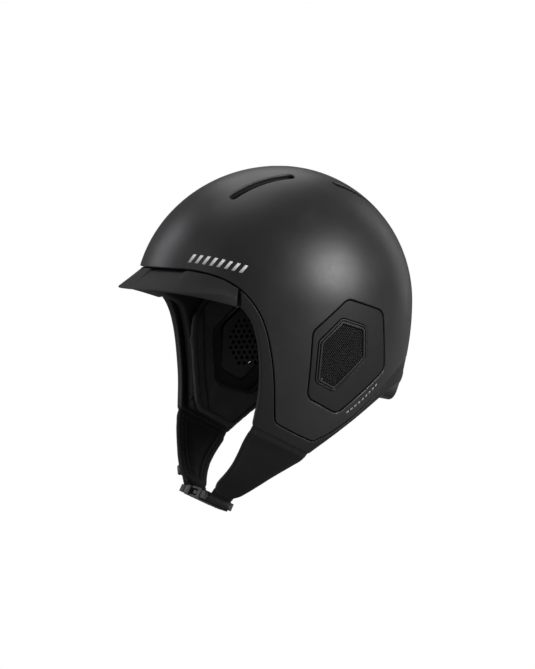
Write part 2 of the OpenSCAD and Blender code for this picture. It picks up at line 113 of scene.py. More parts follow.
def front(x, z, d=0.0, rear=False):
    zn = min(z, 0)
    A, B, C = A0 + d, (BR0 if rear else BF0) + d, C0 + d
    a = A - 18 * (zn / 130) ** 2
    b = B - 24 * (zn / 100) ** 2 if rear else B - 6 * (zn / 130) ** 2
    q = 1 - (x / a) ** 2 - (max(z, 0) / C) ** 2
    return np.array([x, YW + (1 if rear else -1) * b * math.sqrt(max(q, 0)), z])


# ------------------------------------------------------------------ curves
def resample(p, step, closed=False):
    p = np.asarray(p, float)
    q = np.vstack([p, p[:1]]) if closed else p
    s = np.concatenate([[0], np.cumsum(np.linalg.norm(np.diff(q, axis=0), axis=1))])
    n = max(2, int(round(s[-1] / step)))
    t = np.linspace(0, s[-1], n + 1)
    out = np.stack([np.interp(t, s, q[:, k]) for k in range(q.shape[1])], -1)
    return out[:-1] if closed else out


def smooth_curve(p, step, closed=False, sub=10):
    """Centripetal Catmull-Rom through the points, then resampled."""
    p = np.asarray(p, float)
    n = len(p)
    if closed:
        q = np.vstack([p[-1:], p, p[:2]])
    else:
        q = np.vstack([2 * p[:1] - p[1:2], p, 2 * p[-1:] - p[-2:-1]])
    out = []
    for i in range(1, len(q) - 2):
        p0, p1, p2, p3 = q[i - 1], q[i], q[i + 1], q[i + 2]
        t0 = 0
        t1 = t0 + np.linalg.norm(p1 - p0) ** 0.5
        t2 = t1 + np.linalg.norm(p2 - p1) ** 0.5
        t3 = t2 + np.linalg.norm(p3 - p2) ** 0.5
        for t in np.linspace(t1, t2, sub, endpoint=False):
            a1 = (t1 - t) / (t1 - t0) * p0 + (t - t0) / (t1 - t0) * p1
            a2 = (t2 - t) / (t2 - t1) * p1 + (t - t1) / (t2 - t1) * p2
            a3 = (t3 - t) / (t3 - t2) * p2 + (t - t2) / (t3 - t2) * p3
            b1 = (t2 - t) / (t2 - t0) * a1 + (t - t0) / (t2 - t0) * a2
            b2 = (t3 - t) / (t3 - t1) * a2 + (t - t1) / (t3 - t1) * a3
            out.append((t2 - t) / (t2 - t1) * b1 + (t - t1) / (t2 - t1) * b2)
    if not closed:
        out.append(p[-1])
    return resample(out, step, closed)


def round_poly(pts, r, n=10):
    """2D closed polygon with arcs at the corners."""
    pts = np.asarray(pts, float)
    m = len(pts)
    out = []
    for i in range(m):
        p, a, b = pts[i], pts[i - 1], pts[(i + 1) % m]
        u, v = (a - p) / np.linalg.norm(a - p), (b - p) / np.linalg.norm(b - p)
        th = math.acos(np.clip(u @ v, -1, 1))
        c = p + (u + v) / np.linalg.norm(u + v) * (r / math.sin(th / 2))
        s, e = p + u * r / math.tan(th / 2) - c, p + v * r / math.tan(th / 2) - c
        a0 = math.atan2(s[1], s[0])
        da = (math.atan2(e[1], e[0]) - a0 + math.pi) % (2 * math.pi) - math.pi
        for k in range(n + 1):
            out.append(c + r * np.array([math.cos(a0 + da * k / n), math.sin(a0 + da * k / n)]))
    return np.array(out)


def scaled(pts, c, f):
    return [(c[0] + (p[0] - c[0]) * f, c[1] + (p[1] - c[1]) * f) for p in pts]


SHELL_EDGE = [(-91.5, 28), (-81, 23.6), (-71.3, 16.6), (-62.8, 6.6), (-56, -5), (-51, -19), (-47.6, -34),
              (-45, -50), (-43.4, -66), (-42, -84)]
SHELL_LOW = [(22.6, -96), (41.7, -83.2), (60.7, -70.6), (74, -61.8), (87.4, -54), (100, -49), (108, -47.2)]


def shell_edge_3d():
    head = [front(0, 31.5), front(13, 31.5), front(26, 31.4), side(-108, 31.2), side(-101, 30.5)]
    body = [side(*p) for p in SHELL_EDGE]
    c1 = [side(*p) for p in round_poly_open([(-42, -84), (-41, -93.7), (-7, -110.8), (22.6, -96)], [6.5, 6])]
    low = [side(*p) for p in SHELL_LOW[1:]]
    tail = [front(30, -46.6, 0, True), front(15, -46.5, 0, True), front(0, -46.5, 0, True)]
    return np.array(head + body[:-1] + c1 + low + tail)


def round_poly_open(pts, rs, n=7):
    pts = np.asarray(pts, float)
    out = [pts[0]]
    for i in range(1, len(pts) - 1):
        p, a, b, r = pts[i], pts[i - 1], pts[i + 1], rs[i - 1]
        u, v = (a - p) / np.linalg.norm(a - p), (b - p) / np.linalg.norm(b - p)
        th = math.acos(np.clip(u @ v, -1, 1))
        c = p + (u + v) / np.linalg.norm(u + v) * (r / math.sin(th / 2))
        s, e = p + u * r / math.tan(th / 2) - c, p + v * r / math.tan(th / 2) - c
        a0 = math.atan2(s[1], s[0])
        da = (math.atan2(e[1], e[0]) - a0 + math.pi) % (2 * math.pi) - math.pi
        for k in range(n + 1):
            out.append(c + r * np.array([math.cos(a0 + da * k / n), math.sin(a0 + da * k / n)]))
    out.append(pts[-1])
    return np.array(out)


# ------------------------------------------------------------------ mesh helpers
def new_mesh(name, verts, faces, normals=None, mats=(), mat_index=None):
    me = bpy.data.meshes.new(name)
    me.from_pydata([tuple(v) for v in np.asarray(verts) * MM], [], [tuple(int(i) for i in f) for f in faces])
    me.validate()
    me.update()
    o = bpy.data.objects.new(name, me)
    bpy.context.scene.collection.objects.link(o)
    me.polygons.foreach_set("use_smooth", [True] * len(me.polygons))
    for m in mats:
        me.materials.append(m)
    if mat_index is not None and len(me.polygons) == len(mat_index):
        me.polygons.foreach_set("material_index", mat_index)
    if normals is not None and len(normals) == len(me.vertices):
        me.normals_split_custom_set_from_vertices([tuple(n) for n in normals])
    return o


def in_poly(pts, poly):
    x, y = pts[:, 0], pts[:, 1]
    c = np.zeros(len(pts), bool)
    j = len(poly) - 1
    for i in range(len(poly)):
        xi, yi, xj, yj = poly[i][0], poly[i][1], poly[j][0], poly[j][1]
        if yi != yj:
            c ^= ((yi > y) != (yj > y)) & (x < (xj - xi) * (y - yi) / (yj - yi) + xi)
        j = i
    return c


def seg_dist(pts, loop, closed=True):
    """Distance from each point to a dense loop, by its vertices."""
    d = np.full(len(pts), 1e9)
    for i in range(0, len(loop), 64):
        q = loop[i:i + 64]
        d = np.minimum(d, np.min(np.linalg.norm(pts[:, None, :] - q[None], axis=2), axis=1))
    return d


def tri_fill(outer, holes, step):
    """Triangulates the region inside outer and outside holes, with a hexagonal lattice inside. All in uv. Returns (points, tris);
    the first points are outer, then the holes, in the order given."""
    loops = [outer] + list(holes)
    lo, hi = outer.min(0), outer.max(0)
    xs = np.arange(lo[0], hi[0], step)
    ys = np.arange(lo[1], hi[1], step * 0.866)
    g = np.array([(x + (0.5 * step if j % 2 else 0), y) for j, y in enumerate(ys) for x in xs])
    keep = in_poly(g, outer)
    for h in holes:
        keep &= ~in_poly(g, h)
    g = g[keep]
    for l in loops:
        g = g[seg_dist(g, l) > step * 0.62]
    pts = np.vstack(loops + [g])
    edges, k = [], 0
    for l in loops:
        n = len(l)
        edges += [(k + i, k + (i + 1) % n) for i in range(n)]
        k += n
    v, e, t, ov, oe, of = delaunay_2d_cdt([Vector(p) for p in pts], edges, [], 0, 1e-9)
    v = np.array([tuple(p) for p in v])
    # map the output vertices back to the input order
    back = {}
    for i, src in enumerate(ov):
        for q in src:
            back[q] = i
    order = np.full(len(v), -1)
    for q in range(len(pts)):
        if q in back and order[back[q]] < 0:
            order[back[q]] = q
    extra = [i for i in range(len(v)) if order[i] < 0]
    allp = list(pts)
    for i in extra:
        order[i] = len(allp)
        allp.append(v[i])
    allp = np.array(allp)
    tris = np.array([[order[a] for a in f] for f in t if len(f) == 3])
    c = allp[tris].mean(1)
    ok = in_poly(c, outer)
    for h in holes:
        ok &= ~in_poly(c, h)
    tris = tris[ok]
    a = allp[tris]
    area = (a[:, 1, 0] - a[:, 0, 0]) * (a[:, 2, 1] - a[:, 0, 1]) - (a[:, 2, 0] - a[:, 0, 0]) * (a[:, 1, 1] - a[:, 0, 1])
    flip = area < 0
    tris[flip] = tris[flip][:, ::-1]
    tris = tris[np.abs(area) > 1e-12]
    return allp, tris


def chain_frame(p, closed, sgn):
    """Tangent, surface normal and in-surface inward direction along a chain of surface points."""
    n = grad(p)
    if closed:
        t = np.roll(p, -1, 0) - np.roll(p, 1, 0)
    else:
        t = np.gradient(p, axis=0)
    t /= np.linalg.norm(t, axis=1, keepdims=True)
    m = np.cross(n, t) * sgn
    m /= np.linalg.norm(m, axis=1, keepdims=True)
    for _ in range(2):  # soften the inward direction along the chain
        if closed:
            m = m + 0.5 * (np.roll(m, 1, 0) + np.roll(m, -1, 0))
        else:
            k = m.copy()
            k[1:-1] = m[1:-1] + 0.5 * (m[:-2] + m[2:])
            m = k
        m /= np.linalg.norm(m, axis=1, keepdims=True)
    return t, n, m


def area2(uv):
    x, y = uv[:, 0], uv[:, 1]
    return 0.5 * np.sum(x * np.roll(y, -1) - np.roll(x, -1) * y)


def patch(name, edge, holes=(), mid=True, d_out=0.0, d_in=-2.6, fillet=0.8, hole_fillet=None, in_fillet=0.0, spacing=3.0, gap=0.0,
          hole_gap=0.0, mats=(), mirror=None, crown=None, notches=()):
    """A shell piece on the body surface. edge is its outer chain: open, from the mid-plane round to the mid-plane, if mid is True, and
    closed otherwise. holes are closed chains. notches are open chains that bite into the mid-plane arc, in its order. fillet may be a function of the chain point. mirror is None, 'weld' or 'flip'.
    crown is a function of a surface point that gives an extra height of the outer face."""
    hole_fillet = fillet if hole_fillet is None else hole_fillet
    V, N, F = [], [], []

    def add(p, n):
        k = sum(len(a) for a in V)
        V.append(p)
        N.append(n)
        return np.arange(k, k + len(p))

    def val(f, p):
        return np.array([f(q) for q in p]) if callable(f) else np.full(len(p), float(f))

    def depth(p, d, c):
        q = project(p, 0.0)
        n = grad(q)
        return q + n * np.asarray(d)[:, None] + (n * np.asarray(c)[:, None])

    chains = []
    full_uv = to_uv(edge)
    if mid:
        th0 = math.atan2(full_uv[-1, 1], full_uv[-1, 0])
        th1 = math.atan2(full_uv[0, 1], full_uv[0, 0])
        # the mid-plane arc runs over the crown
        if th0 > th1:
            pass
        span = (th1 - th0) % (2 * math.pi)
        arc = np.linspace(th0, th0 + span, max(3, int(span * 110 / spacing)))[1:-1]
        test = np.vstack([full_uv, np.stack([np.cos(arc), np.sin(arc)], -1) * math.pi / 2])
    else:
        test = full_uv
    ccw = area2(test) > 0
    chains.append((edge, not mid, 1 if ccw else -1, fillet, gap))
    for h in notches:
        chains.append((h, False, 1 if ccw else -1, hole_fillet, hole_gap))
    for h in holes:
        hccw = area2(to_uv(h)) > 0
        chains.append((h, True, -1 if hccw else 1, hole_fillet, hole_gap))
    rows_all = []
    K = 5
    for p, closed, sgn, fil, gp in chains:
        t, n, m = chain_frame(p, closed, sgn)
        if not closed:
            for e in (0, -1):
                m[e, 0] = 0
                m[e] /= np.linalg.norm(m[e])
        r = val(fil, p)
        p0 = p + m * gp
        rows = []
        for k in range(K + 1):
            al = math.pi / 2 * k / K
            s, dep = r * (1 - math.sin(al)), r * (1 - math.cos(al))
            q = p0 + m * s[:, None]
            if not closed:
                q[0, 0] = q[-1, 0] = 0
            nn = n * math.cos(al) - m * math.sin(al)
            if not closed:
                nn[0, 0] = nn[-1, 0] = 0
            rows.append((q, -dep, nn / np.linalg.norm(nn, axis=1, keepdims=True)))
        if in_fillet > 0 and np.any(r < in_fillet - 0.05):
            wide = np.maximum(r, in_fillet)
            if np.min(wide - r) < 0.05:
                wide = wide + 0.12
            q = p0 + m * wide[:, None]
            if not closed:
                q[0, 0] = q[-1, 0] = 0
            rows.insert(0, (q, np.zeros(len(q)), n))
        rows_all.append((rows, closed, sgn, m, n, r, p0))
    # outer triangulation
    inner_loops = []
    for rows, closed, *_ in rows_all:
        inner_loops.append(project(rows[0][0], 0.0))
    uvs = [to_uv(l) for l in inner_loops]
    nn_ = len(notches)
    offs = [0]
    if mid:
        parts, count = [], 0
        ring = uvs[:1 + nn_]
        for q in ring:
            q[0] *= (math.pi / 2) / np.linalg.norm(q[0])
            q[-1] *= (math.pi / 2) / np.linalg.norm(q[-1])
        offs = []
        for i, q in enumerate(ring):
            offs.append(count)
            nxt = ring[(i + 1) % len(ring)]
            a, b = q[-1], nxt[0]
            th0, th1 = math.atan2(a[1], a[0]), math.atan2(b[1], b[0])
            span = (th1 - th0) % (2 * math.pi) if ccw else -((th0 - th1) % (2 * math.pi))
            nm = max(3, int(abs(span) * 118 / spacing))
            arc = np.linspace(th0, th0 + span, nm + 1)[1:-1]
            parts += [q, np.stack([np.cos(arc), np.sin(arc)], -1) * math.pi / 2]
            count += len(q) + len(arc)
        outer_uv = np.vstack(parts)
    else:
        outer_uv = uvs[0]
    count = len(outer_uv)
    for q in uvs[1 + nn_:]:
        offs.append(count)
        count += len(q)
    pts, tris = tri_fill(outer_uv, uvs[1 + nn_:], spacing / 118.0)
    P = from_uv(pts)
    P[np.abs(np.hypot(pts[:, 0], pts[:, 1]) - math.pi / 2) < 1e-7, 0] = 0
    n = grad(P)
    cr = np.array([crown(q) for q in P]) if crown else np.zeros(len(P))
    dO = val(d_out, P)
    dI = val(d_in, P)
    top = add(P + n * (dO + cr)[:, None], n)
    bot = add(P + n * dI[:, None], -n)
    F += [tuple(top[i] for i in f) for f in tris]
    F += [tuple(bot[i] for i in f[::-1]) for f in tris]
    for ci, (rows, closed, sgn, m, nn0, r, p0) in enumerate(rows_all):
        L = len(rows[0][0])
        off = offs[ci]
        first = top[off:off + L]
        lastin = bot[off:off + L]
        prev = first
        seq = [first]
        for k in range(1, len(rows)):
            q, dep, nn = rows[k]
            s = project(q, 0.0)
            g = grad(s)
            c = np.array([crown(v) for v in s]) if crown else 0
            z = s + g * (val(d_out, s) + dep + c)[:, None]
            if not closed:
                z[0, 0] = z[-1, 0] = 0
            seq.append(add(z, nn))
        q = rows[-1][0]
        s = project(q, 0.0)
        g = grad(s)
        di = val(d_in, s)
        if in_fillet > 0:
            for k in range(0, 4 if np.all(r > in_fillet + 0.05) else 3):
                al = math.pi / 2 * k / 3
                s2 = project(p0 + m * (in_fillet * (1 - math.cos(al))), 0.0)
                g2 = grad(s2)
                z = s2 + g2 * (di + in_fillet * (1 - math.sin(al)))[:, None]
                nn = -m * math.cos(al) - g2 * math.sin(al)
                if not closed:
                    z[0, 0] = z[-1, 0] = 0
                    nn[0, 0] = nn[-1, 0] = 0
                seq.append(add(z, nn / np.linalg.norm(nn, axis=1, keepdims=True)))
        else:
            z = s + g * di[:, None]
            if not closed:
                z[0, 0] = z[-1, 0] = 0
            nn = -m.copy()
            if not closed:
                nn[0, 0] = nn[-1, 0] = 0
            seq.append(add(z, nn / np.maximum(np.linalg.norm(nn, axis=1, keepdims=True), 1e-9)))
            seq.append(add(z, -g))   # sharp lower corner: its own vertices
        seq.append(lastin)
        for a, b in zip(seq[:-1], seq[1:]):
            if in_fillet <= 0 and a is seq[-3] and b is seq[-2]:
                continue
            rng = range(L if closed else L - 1)
            for i in rng:
                j = (i + 1) % L
                q = (a[i], b[i], b[j], a[j])
                F.append(q if sgn > 0 else q[::-1])
    V, N = np.vstack(V), np.vstack(N)
    return finish_patch(name, V, N, F, mats, mirror)


def close_gaps(F):
    """Adds the small faces that the triangulation left out where three points of an edge lie almost in line."""
    de = set()
    for f in F:
        de.update((int(a), int(b)) for a, b in zip(f, f[1:] + f[:1]))
    back = {}
    for a, b in sorted(de):
        if (b, a) not in de:
            back.setdefault(b, []).append(a)
    out, used = [], set()
    for s0 in sorted(back):
        paths = [[s0]]
        for _ in range(7):
            grown = []
            for p in paths:
                for k in back.get(p[-1], []):
                    if (p[-1], k) in used:
                        continue
                    if k == s0 and len(p) >= 3:
                        out.append(tuple(p))
                        used.update(zip(p, p[1:] + p[:1]))
                        grown = []
                        break
                    if k not in p:
                        grown.append(p + [k])
                else:
                    continue
                break
            paths = grown
            if not paths:
                break
    return F + out


def finish_patch(name, V, N, F, mats, mirror):
    F = [tuple(dict.fromkeys(f)) for f in F]
    F = [f for f in F if len(f) >= 3]
    if mirror == "weld":
        n = len(V)
        V2 = V * [-1, 1, 1]
        N2 = N * [-1, 1, 1]
        idx = np.arange(n) + n
        on = np.abs(V[:, 0]) < 1e-6
        idx[on] = np.arange(n)[on]
        N[on, 0] = 0
        F = F + [tuple(int(idx[i]) for i in f[::-1]) for f in F]
        used = np.zeros(2 * n, bool)
        for f in F:
            used[list(f)] = True
        V, N = np.vstack([V, V2]), np.vstack([N, N2])
        remap = np.cumsum(used) - 1
        V, N = V[used], N[used]
        F = [tuple(int(remap[i]) for i in f) for f in F]
    F = close_gaps(F)
    if mirror == "flip":
        V, N = V * [-1, 1, 1], N * [-1, 1, 1]
        F = [f[::-1] for f in F]
    N = N / np.maximum(np.linalg.norm(N, axis=1, keepdims=True), 1e-9)
    return new_mesh(name, V, F, N, mats)


def merge_doubles(o, dist=1e-6):
    bm = bmesh.new()
    bm.from_mesh(o.data)
    bmesh.ops.remove_doubles(bm, verts=bm.verts, dist=dist)
    bm.to_mesh(o.data)
    bm.free()


# ------------------------------------------------------------------ materials
def mat(name, color, rough=0.5, spec=0.5, sheen=0.0, coat=0.0, metal=0.0):
    m = bpy.data.materials.new(name)
    m.use_nodes = True
    nt = m.node_tree
    b = nt.nodes["Principled BSDF"]
    b.inputs["Base Color"].default_value = (*color, 1)
    b.inputs["Roughness"].default_value = rough
    b.inputs["Metallic"].default_value = metal
    b.inputs["Specular IOR Level"].default_value = spec
    if sheen:
        b.inputs["Sheen Weight"].default_value = sheen
        b.inputs["Sheen Roughness"].default_value = 0.45
    if coat:
        b.inputs["Coat Weight"].default_value = coat
        b.inputs["Coat Roughness"].default_value = 0.3
    return m, nt, b


def node(nt, kind, **kw):
    n = nt.nodes.new(kind)
    for k, v in kw.items():
        if k in n.inputs:
            n.inputs[k].default_value = v
        else:
            setattr(n, k, v)
    return n


def coords(nt, scale=(1, 1, 1), rot=(0, 0, 0)):
    tc = nt.nodes.new("ShaderNodeTexCoord")
    mp = nt.nodes.new("ShaderNodeMapping")
    mp.inputs["Scale"].default_value = scale
    mp.inputs["Rotation"].default_value = rot
    nt.links.new(tc.outputs["Object"], mp.inputs["Vector"])
    return mp.outputs["Vector"]


def ramp(nt, fac, stops):
    r = nt.nodes.new("ShaderNodeValToRGB")
    e = r.color_ramp.elements
    while len(e) < len(stops):
        e.new(0.5)
    for el, (p, c) in zip(e, stops):
        el.position = p
        el.color = (*c, 1) if len(c) == 3 else c
    nt.links.new(fac, r.inputs["Fac"])
    return r.outputs["Color"]


def math_node(nt, op, a, b=None):
    n = nt.nodes.new("ShaderNodeMath")
    n.operation = op
    for i, v in enumerate((a, b)):
        if v is None:
            continue
        if isinstance(v, (int, float)):
            n.inputs[i].default_value = v
        else:
            nt.links.new(v, n.inputs[i])
    return n.outputs[0]


def plastic(name, color, rough, grain=2200.0, grain_h=0.000012, spec=0.5, mottle=0.12, wear=0.0, coat=0.0):
    m, nt, b = mat(name, color, rough, spec, coat=coat)
    v = coords(nt)
    big = node(nt, "ShaderNodeTexNoise", Scale=38.0, Detail=4.0, Roughness=0.55)
    fine = node(nt, "ShaderNodeTexNoise", Scale=grain, Detail=3.0, Roughness=0.6)
    mid = node(nt, "ShaderNodeTexNoise", Scale=grain * 0.22, Detail=2.0, Roughness=0.5)
    for n in (big, fine, mid):
        nt.links.new(v, n.inputs["Vector"])
    c0 = tuple(c * (1 - mottle) for c in color)
    c1 = tuple(min(1, c * (1 + mottle)) for c in color)
    col = ramp(nt, big.outputs["Fac"], [(0.3, c0), (0.7, c1)])
    if wear > 0:
        geo = nt.nodes.new("ShaderNodeNewGeometry")
        w = ramp(nt, geo.outputs["Pointiness"], [(0.512, (0, 0, 0)), (0.56, (1, 1, 1))])
        wm = math_node(nt, "MULTIPLY", w, wear)
        mix = nt.nodes.new("ShaderNodeMix")
        mix.data_type = "RGBA"
        nt.links.new(wm, mix.inputs["Factor"])
        nt.links.new(col, mix.inputs["A"])
        mix.inputs["B"].default_value = (*(min(1, c * 2.6 + 0.02) for c in color), 1)
        col = mix.outputs["Result"]
    nt.links.new(col, b.inputs["Base Color"])
    rr = ramp(nt, big.outputs["Fac"], [(0.25, (rough - 0.035,) * 3), (0.75, (rough + 0.035,) * 3)])
    rm = math_node(nt, "ADD", rr, math_node(nt, "MULTIPLY", math_node(nt, "SUBTRACT", mid.outputs["Fac"], 0.5), 0.12))
    nt.links.new(rm, b.inputs["Roughness"])
    h = math_node(nt, "ADD", fine.outputs["Fac"], math_node(nt, "MULTIPLY", mid.outputs["Fac"], 0.8))
    bump = node(nt, "ShaderNodeBump", Strength=1.0, Distance=grain_h)
    nt.links.new(h, bump.inputs["Height"])
    nt.links.new(bump.outputs["Normal"], b.inputs["Normal"])
    return m


def fabric(name, color, pitch=0.0011, rough=0.85, sheen=0.35, height=0.00016, kind="knit", tone_and_weave_shade=0.35):
    """Woven or knitted cloth from crossed waves in object space, with fuzz. Its colour holds painted shade in the
    weave's dips and random tone.
    """
    m, nt, b = mat(name, color, rough, 0.25, sheen=sheen)
    k = 2 * math.pi / pitch
    v = coords(nt)
    sep = nt.nodes.new("ShaderNodeSeparateXYZ")
    nt.links.new(v, sep.inputs[0])
    x, y, z = sep.outputs
    if kind == "knit":
        u = math_node(nt, "ADD", math_node(nt, "MULTIPLY", x, 0.6), math_node(nt, "MULTIPLY", y, 0.8))
        s1 = math_node(nt, "SINE", math_node(nt, "MULTIPLY", math_node(nt, "ADD", u, z), k))
        s2 = math_node(nt, "SINE", math_node(nt, "MULTIPLY", math_node(nt, "SUBTRACT", u, z), k * 0.93))
    else:
        u = math_node(nt, "ADD", math_node(nt, "MULTIPLY", x, 0.7), math_node(nt, "MULTIPLY", y, 0.7))
        s1 = math_node(nt, "SINE", math_node(nt, "MULTIPLY", u, k))
        s2 = math_node(nt, "SINE", math_node(nt, "MULTIPLY", z, k * 0.8))
    w = math_node(nt, "MULTIPLY", s1, s2)
    nz = node(nt, "ShaderNodeTexNoise", Scale=1500.0, Detail=3.0, Roughness=0.65)
    big = node(nt, "ShaderNodeTexNoise", Scale=60.0, Detail=3.0, Roughness=0.55)
    nt.links.new(v, nz.inputs["Vector"])
    nt.links.new(v, big.inputs["Vector"])
    h = math_node(nt, "ADD", math_node(nt, "MULTIPLY", w, 0.5), nz.outputs["Fac"])
    # painted shade: the colour follows the weave's relief, darker in the dips and lighter on the crests; the large
    # noise adds random tone
    weave_shade = math_node(nt, "MULTIPLY", math_node(nt, "ADD", math_node(nt, "MULTIPLY", w, 0.5), 1.0), 0.5)
    weave_shade_and_tone = math_node(nt, "ADD", math_node(nt, "MULTIPLY", weave_shade, 0.7), math_node(nt, "MULTIPLY", big.outputs["Fac"], 0.35))
    col = ramp(nt, weave_shade_and_tone, [(0.25, tuple(c * (1 - tone_and_weave_shade) for c in color)), (0.8, tuple(min(1, c * (1 + tone_and_weave_shade * 1.4)) for c in color))])
    nt.links.new(col, b.inputs["Base Color"])
    bump = node(nt, "ShaderNodeBump", Strength=1.0, Distance=height)
    nt.links.new(h, bump.inputs["Height"])
    nt.links.new(bump.outputs["Normal"], b.inputs["Normal"])
    return m


def metal(name, color, rough=0.32):
    m, nt, b = mat(name, color, rough, metal=1.0)
    v = coords(nt, (400, 6000, 6000))
    n = node(nt, "ShaderNodeTexNoise", Scale=1.0, Detail=2.0)
    nt.links.new(v, n.inputs["Vector"])
    r = ramp(nt, n.outputs["Fac"], [(0.3, (rough - 0.08,) * 3), (0.7, (rough + 0.1,) * 3)])
    nt.links.new(r, b.inputs["Roughness"])
    bump = node(nt, "ShaderNodeBump", Strength=0.6, Distance=0.00001)
    nt.links.new(n.outputs["Fac"], bump.inputs["Height"])
    nt.links.new(bump.outputs["Normal"], b.inputs["Normal"])
    return m


M_SHELL = plastic("shell_satin", (0.0165, 0.0165, 0.0175), 0.42, grain=2600, grain_h=0.000010, spec=0.5, wear=0.15)
M_EDGE = plastic("edge_matte", (0.0094, 0.0094, 0.01), 0.58, grain=1800, grain_h=0.00002, spec=0.38, wear=0.3)
M_PEAK = plastic("peak_soft", (0.0135, 0.0135, 0.0145), 0.62, grain=1500, grain_h=0.000028, spec=0.42, wear=0.2)
M_EAR = plastic("ear_cover_satin", (0.0088, 0.0088, 0.0094), 0.55, grain=2000, grain_h=0.000016, spec=0.36, wear=0.2)
M_FRAME = plastic("ear_frame_plastic", (0.010, 0.010, 0.0105), 0.5, grain=1500, grain_h=0.00003, wear=0.5)
M_MOULD = plastic("moulded_plastic", (0.010, 0.010, 0.0105), 0.5, grain=1400, grain_h=0.00003, wear=0.4)
M_BUCKLE = plastic("buckle_plastic", (0.020, 0.020, 0.021), 0.42, grain=1200, grain_h=0.00002, wear=0.6)
M_FOAM = plastic("closed_cell_foam", (0.024, 0.024, 0.0245), 0.85, grain=900, grain_h=0.00012, spec=0.25)
M_GRILLE = plastic("grille_plate", (0.016, 0.016, 0.0165), 0.6, grain=1200, grain_h=0.00003)
M_PAD = fabric("pad_knit", (0.042, 0.042, 0.043), pitch=0.0014, rough=0.88, sheen=0.12, height=0.00010)
M_STRAP = fabric("neoprene_face", (0.0105, 0.0105, 0.011), pitch=0.0010, rough=0.78, sheen=0.10, height=0.00006, tone_and_weave_shade=0.22)
M_BIND = fabric("binding_tape", (0.0125, 0.0125, 0.013), pitch=0.0009, rough=0.8, sheen=0.12, height=0.00012, kind="weave")
M_WEB = fabric("webbing", (0.020, 0.020, 0.0205), pitch=0.0016, rough=0.7, sheen=0.15, height=0.0002, kind="weave")
M_WIRE = plastic("mesh_thread", (0.0095, 0.0095, 0.010), 0.7, grain=1200, grain_h=0.00002, spec=0.5)
M_BACK = plastic("mesh_backing", (0.002, 0.002, 0.002), 0.9, grain=600, grain_h=0.00005, spec=0.2)
M_THREAD = fabric("stitch_thread", (0.030, 0.030, 0.031), pitch=0.0005, rough=0.7, sheen=0.2, height=0.00006, kind="weave")
M_WHITE = plastic("printed_mark", (0.78, 0.78, 0.78), 0.45, grain=900, grain_h=0.00001, mottle=0.03)
M_GREY = plastic("printed_dashes", (0.30, 0.30, 0.30), 0.5, grain=900, grain_h=0.00001, mottle=0.05)
M_STEEL = metal("rivet_steel", (0.5, 0.5, 0.52))
M_BRASS = metal("pinion_brass", (0.72, 0.55, 0.25))

# ------------------------------------------------------------------ outlines
HEX_OUT = [(18.8, 7), (57.8, -4.5), (62.8, -54.5), (12.2, -88.8), (-16.2, -73.8), (-13.8, -19)]
HEX_IN = [(13, -8.4), (39, -16.2), (40, -43.8), (8.2, -70.6), (-10.2, -61), (-8.3, -27)]


def side_loop(poly2, r, step=1.1):
    p = round_poly(poly2, r)
    p = resample(p, step, True)
    return np.array([side(y, z) for y, z in p])


def slot_loop(path, r, step=1.0):
    """A rounded slot round a plan-view path, dropped on the crown."""
    path = smooth_curve(path, 1.2)
    t = np.gradient(path, axis=0)
    t /= np.linalg.norm(t, axis=1, keepdims=True)
    nrm = np.stack([-t[:, 1], t[:, 0]], -1)
    left, right = path + nrm * r, path - nrm * r
    a = math.atan2(nrm[-1][1], nrm[-1][0])
    cap1 = [path[-1] + r * np.array([math.cos(a - k), math.sin(a - k)]) for k in np.linspace(0, math.pi, 9)[1:-1]]
    a = math.atan2(-nrm[0][1], -nrm[0][0])
    cap0 = [path[0] + r * np.array([math.cos(a - k), math.sin(a - k)]) for k in np.linspace(0, math.pi, 9)[1:-1]]
    loop = resample(np.vstack([left, cap1, right[::-1], cap0]), step, True)
    z = C0 * np.sqrt(1 - (loop[:, 0] / A0) ** 2 - ((loop[:, 1] - YW) / np.where(loop[:, 1] < YW, BF0, BR0)) ** 2)
    return np.column_stack([loop, z])


VENTS = [[(38.5, -57), (37.8, -30), (37.2, -4)], [(40, 38), (37.6, 60), (31, 86)]]
EDGE3 = smooth_curve(shell_edge_3d(), 1.3)
EDGE3 = project(EDGE3)
EDGE3[0, 0] = EDGE3[-1, 0] = 0

OUT_LOOP = side_loop(HEX_OUT, 9.5)
IN_LOOP = side_loop(HEX_IN, 6.3)

# the centre slot sits on the mid-plane: it notches the half shell, so its two halves meet there
CS = 3.3


def crown_pt(x, y):
    b = BF0 if y < YW else BR0
    return np.array([x, y, C0 * math.sqrt(1 - (x / A0) ** 2 - ((y - YW) / b) ** 2)])


def centre_notch(y0, y1, r, step=1.0):
    """Half outline of the centre slot, from its rear end to its front end, x >= 0."""
    a = [(r * math.sin(k), y1 + r * math.cos(k)) for k in np.linspace(0, math.pi / 2, 9)]
    b = [(r * math.sin(k), y0 + r * math.cos(k)) for k in np.linspace(math.pi / 2, math.pi, 9)]
    q = resample(np.array(a + b), step)
    q[0, 0] = q[-1, 0] = 0
    return np.array([crown_pt(x, y) for x, y in q])


shell = patch("outer_shell_skin", EDGE3, notches=[centre_notch(3, 48, CS)], holes=[OUT_LOOP] + [slot_loop(v, 3.3) for v in VENTS], d_out=0.0, d_in=-2.7, fillet=0.85,
              hole_fillet=1.0, in_fillet=0.4, spacing=2.7, gap=0.45, hole_gap=0.0, mats=(M_SHELL,), mirror="weld")
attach(shell, "helmet")
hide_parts("outer_shell")


# ------------------------------------------------------------------ edge trim
def rear_pt(x, z, d=0.0):
    return front(x, z, d, True)


NX = 20.9          # half width of the notch at the nape
RIM_OPEN = [(-70.6, 0.9), (-66.8, -4.5), (-62.5, -12.8), (-59.2, -24), (-57.2, -36), (-56, -52), (-55.8, -68), (-56.8, -80)]
RIM_LOW = [(1.9, -114.4), (23, -100.4), (47.6, -86.4), (62, -78.8), (75, -73.6), (88, -70), (100, -68.2)]


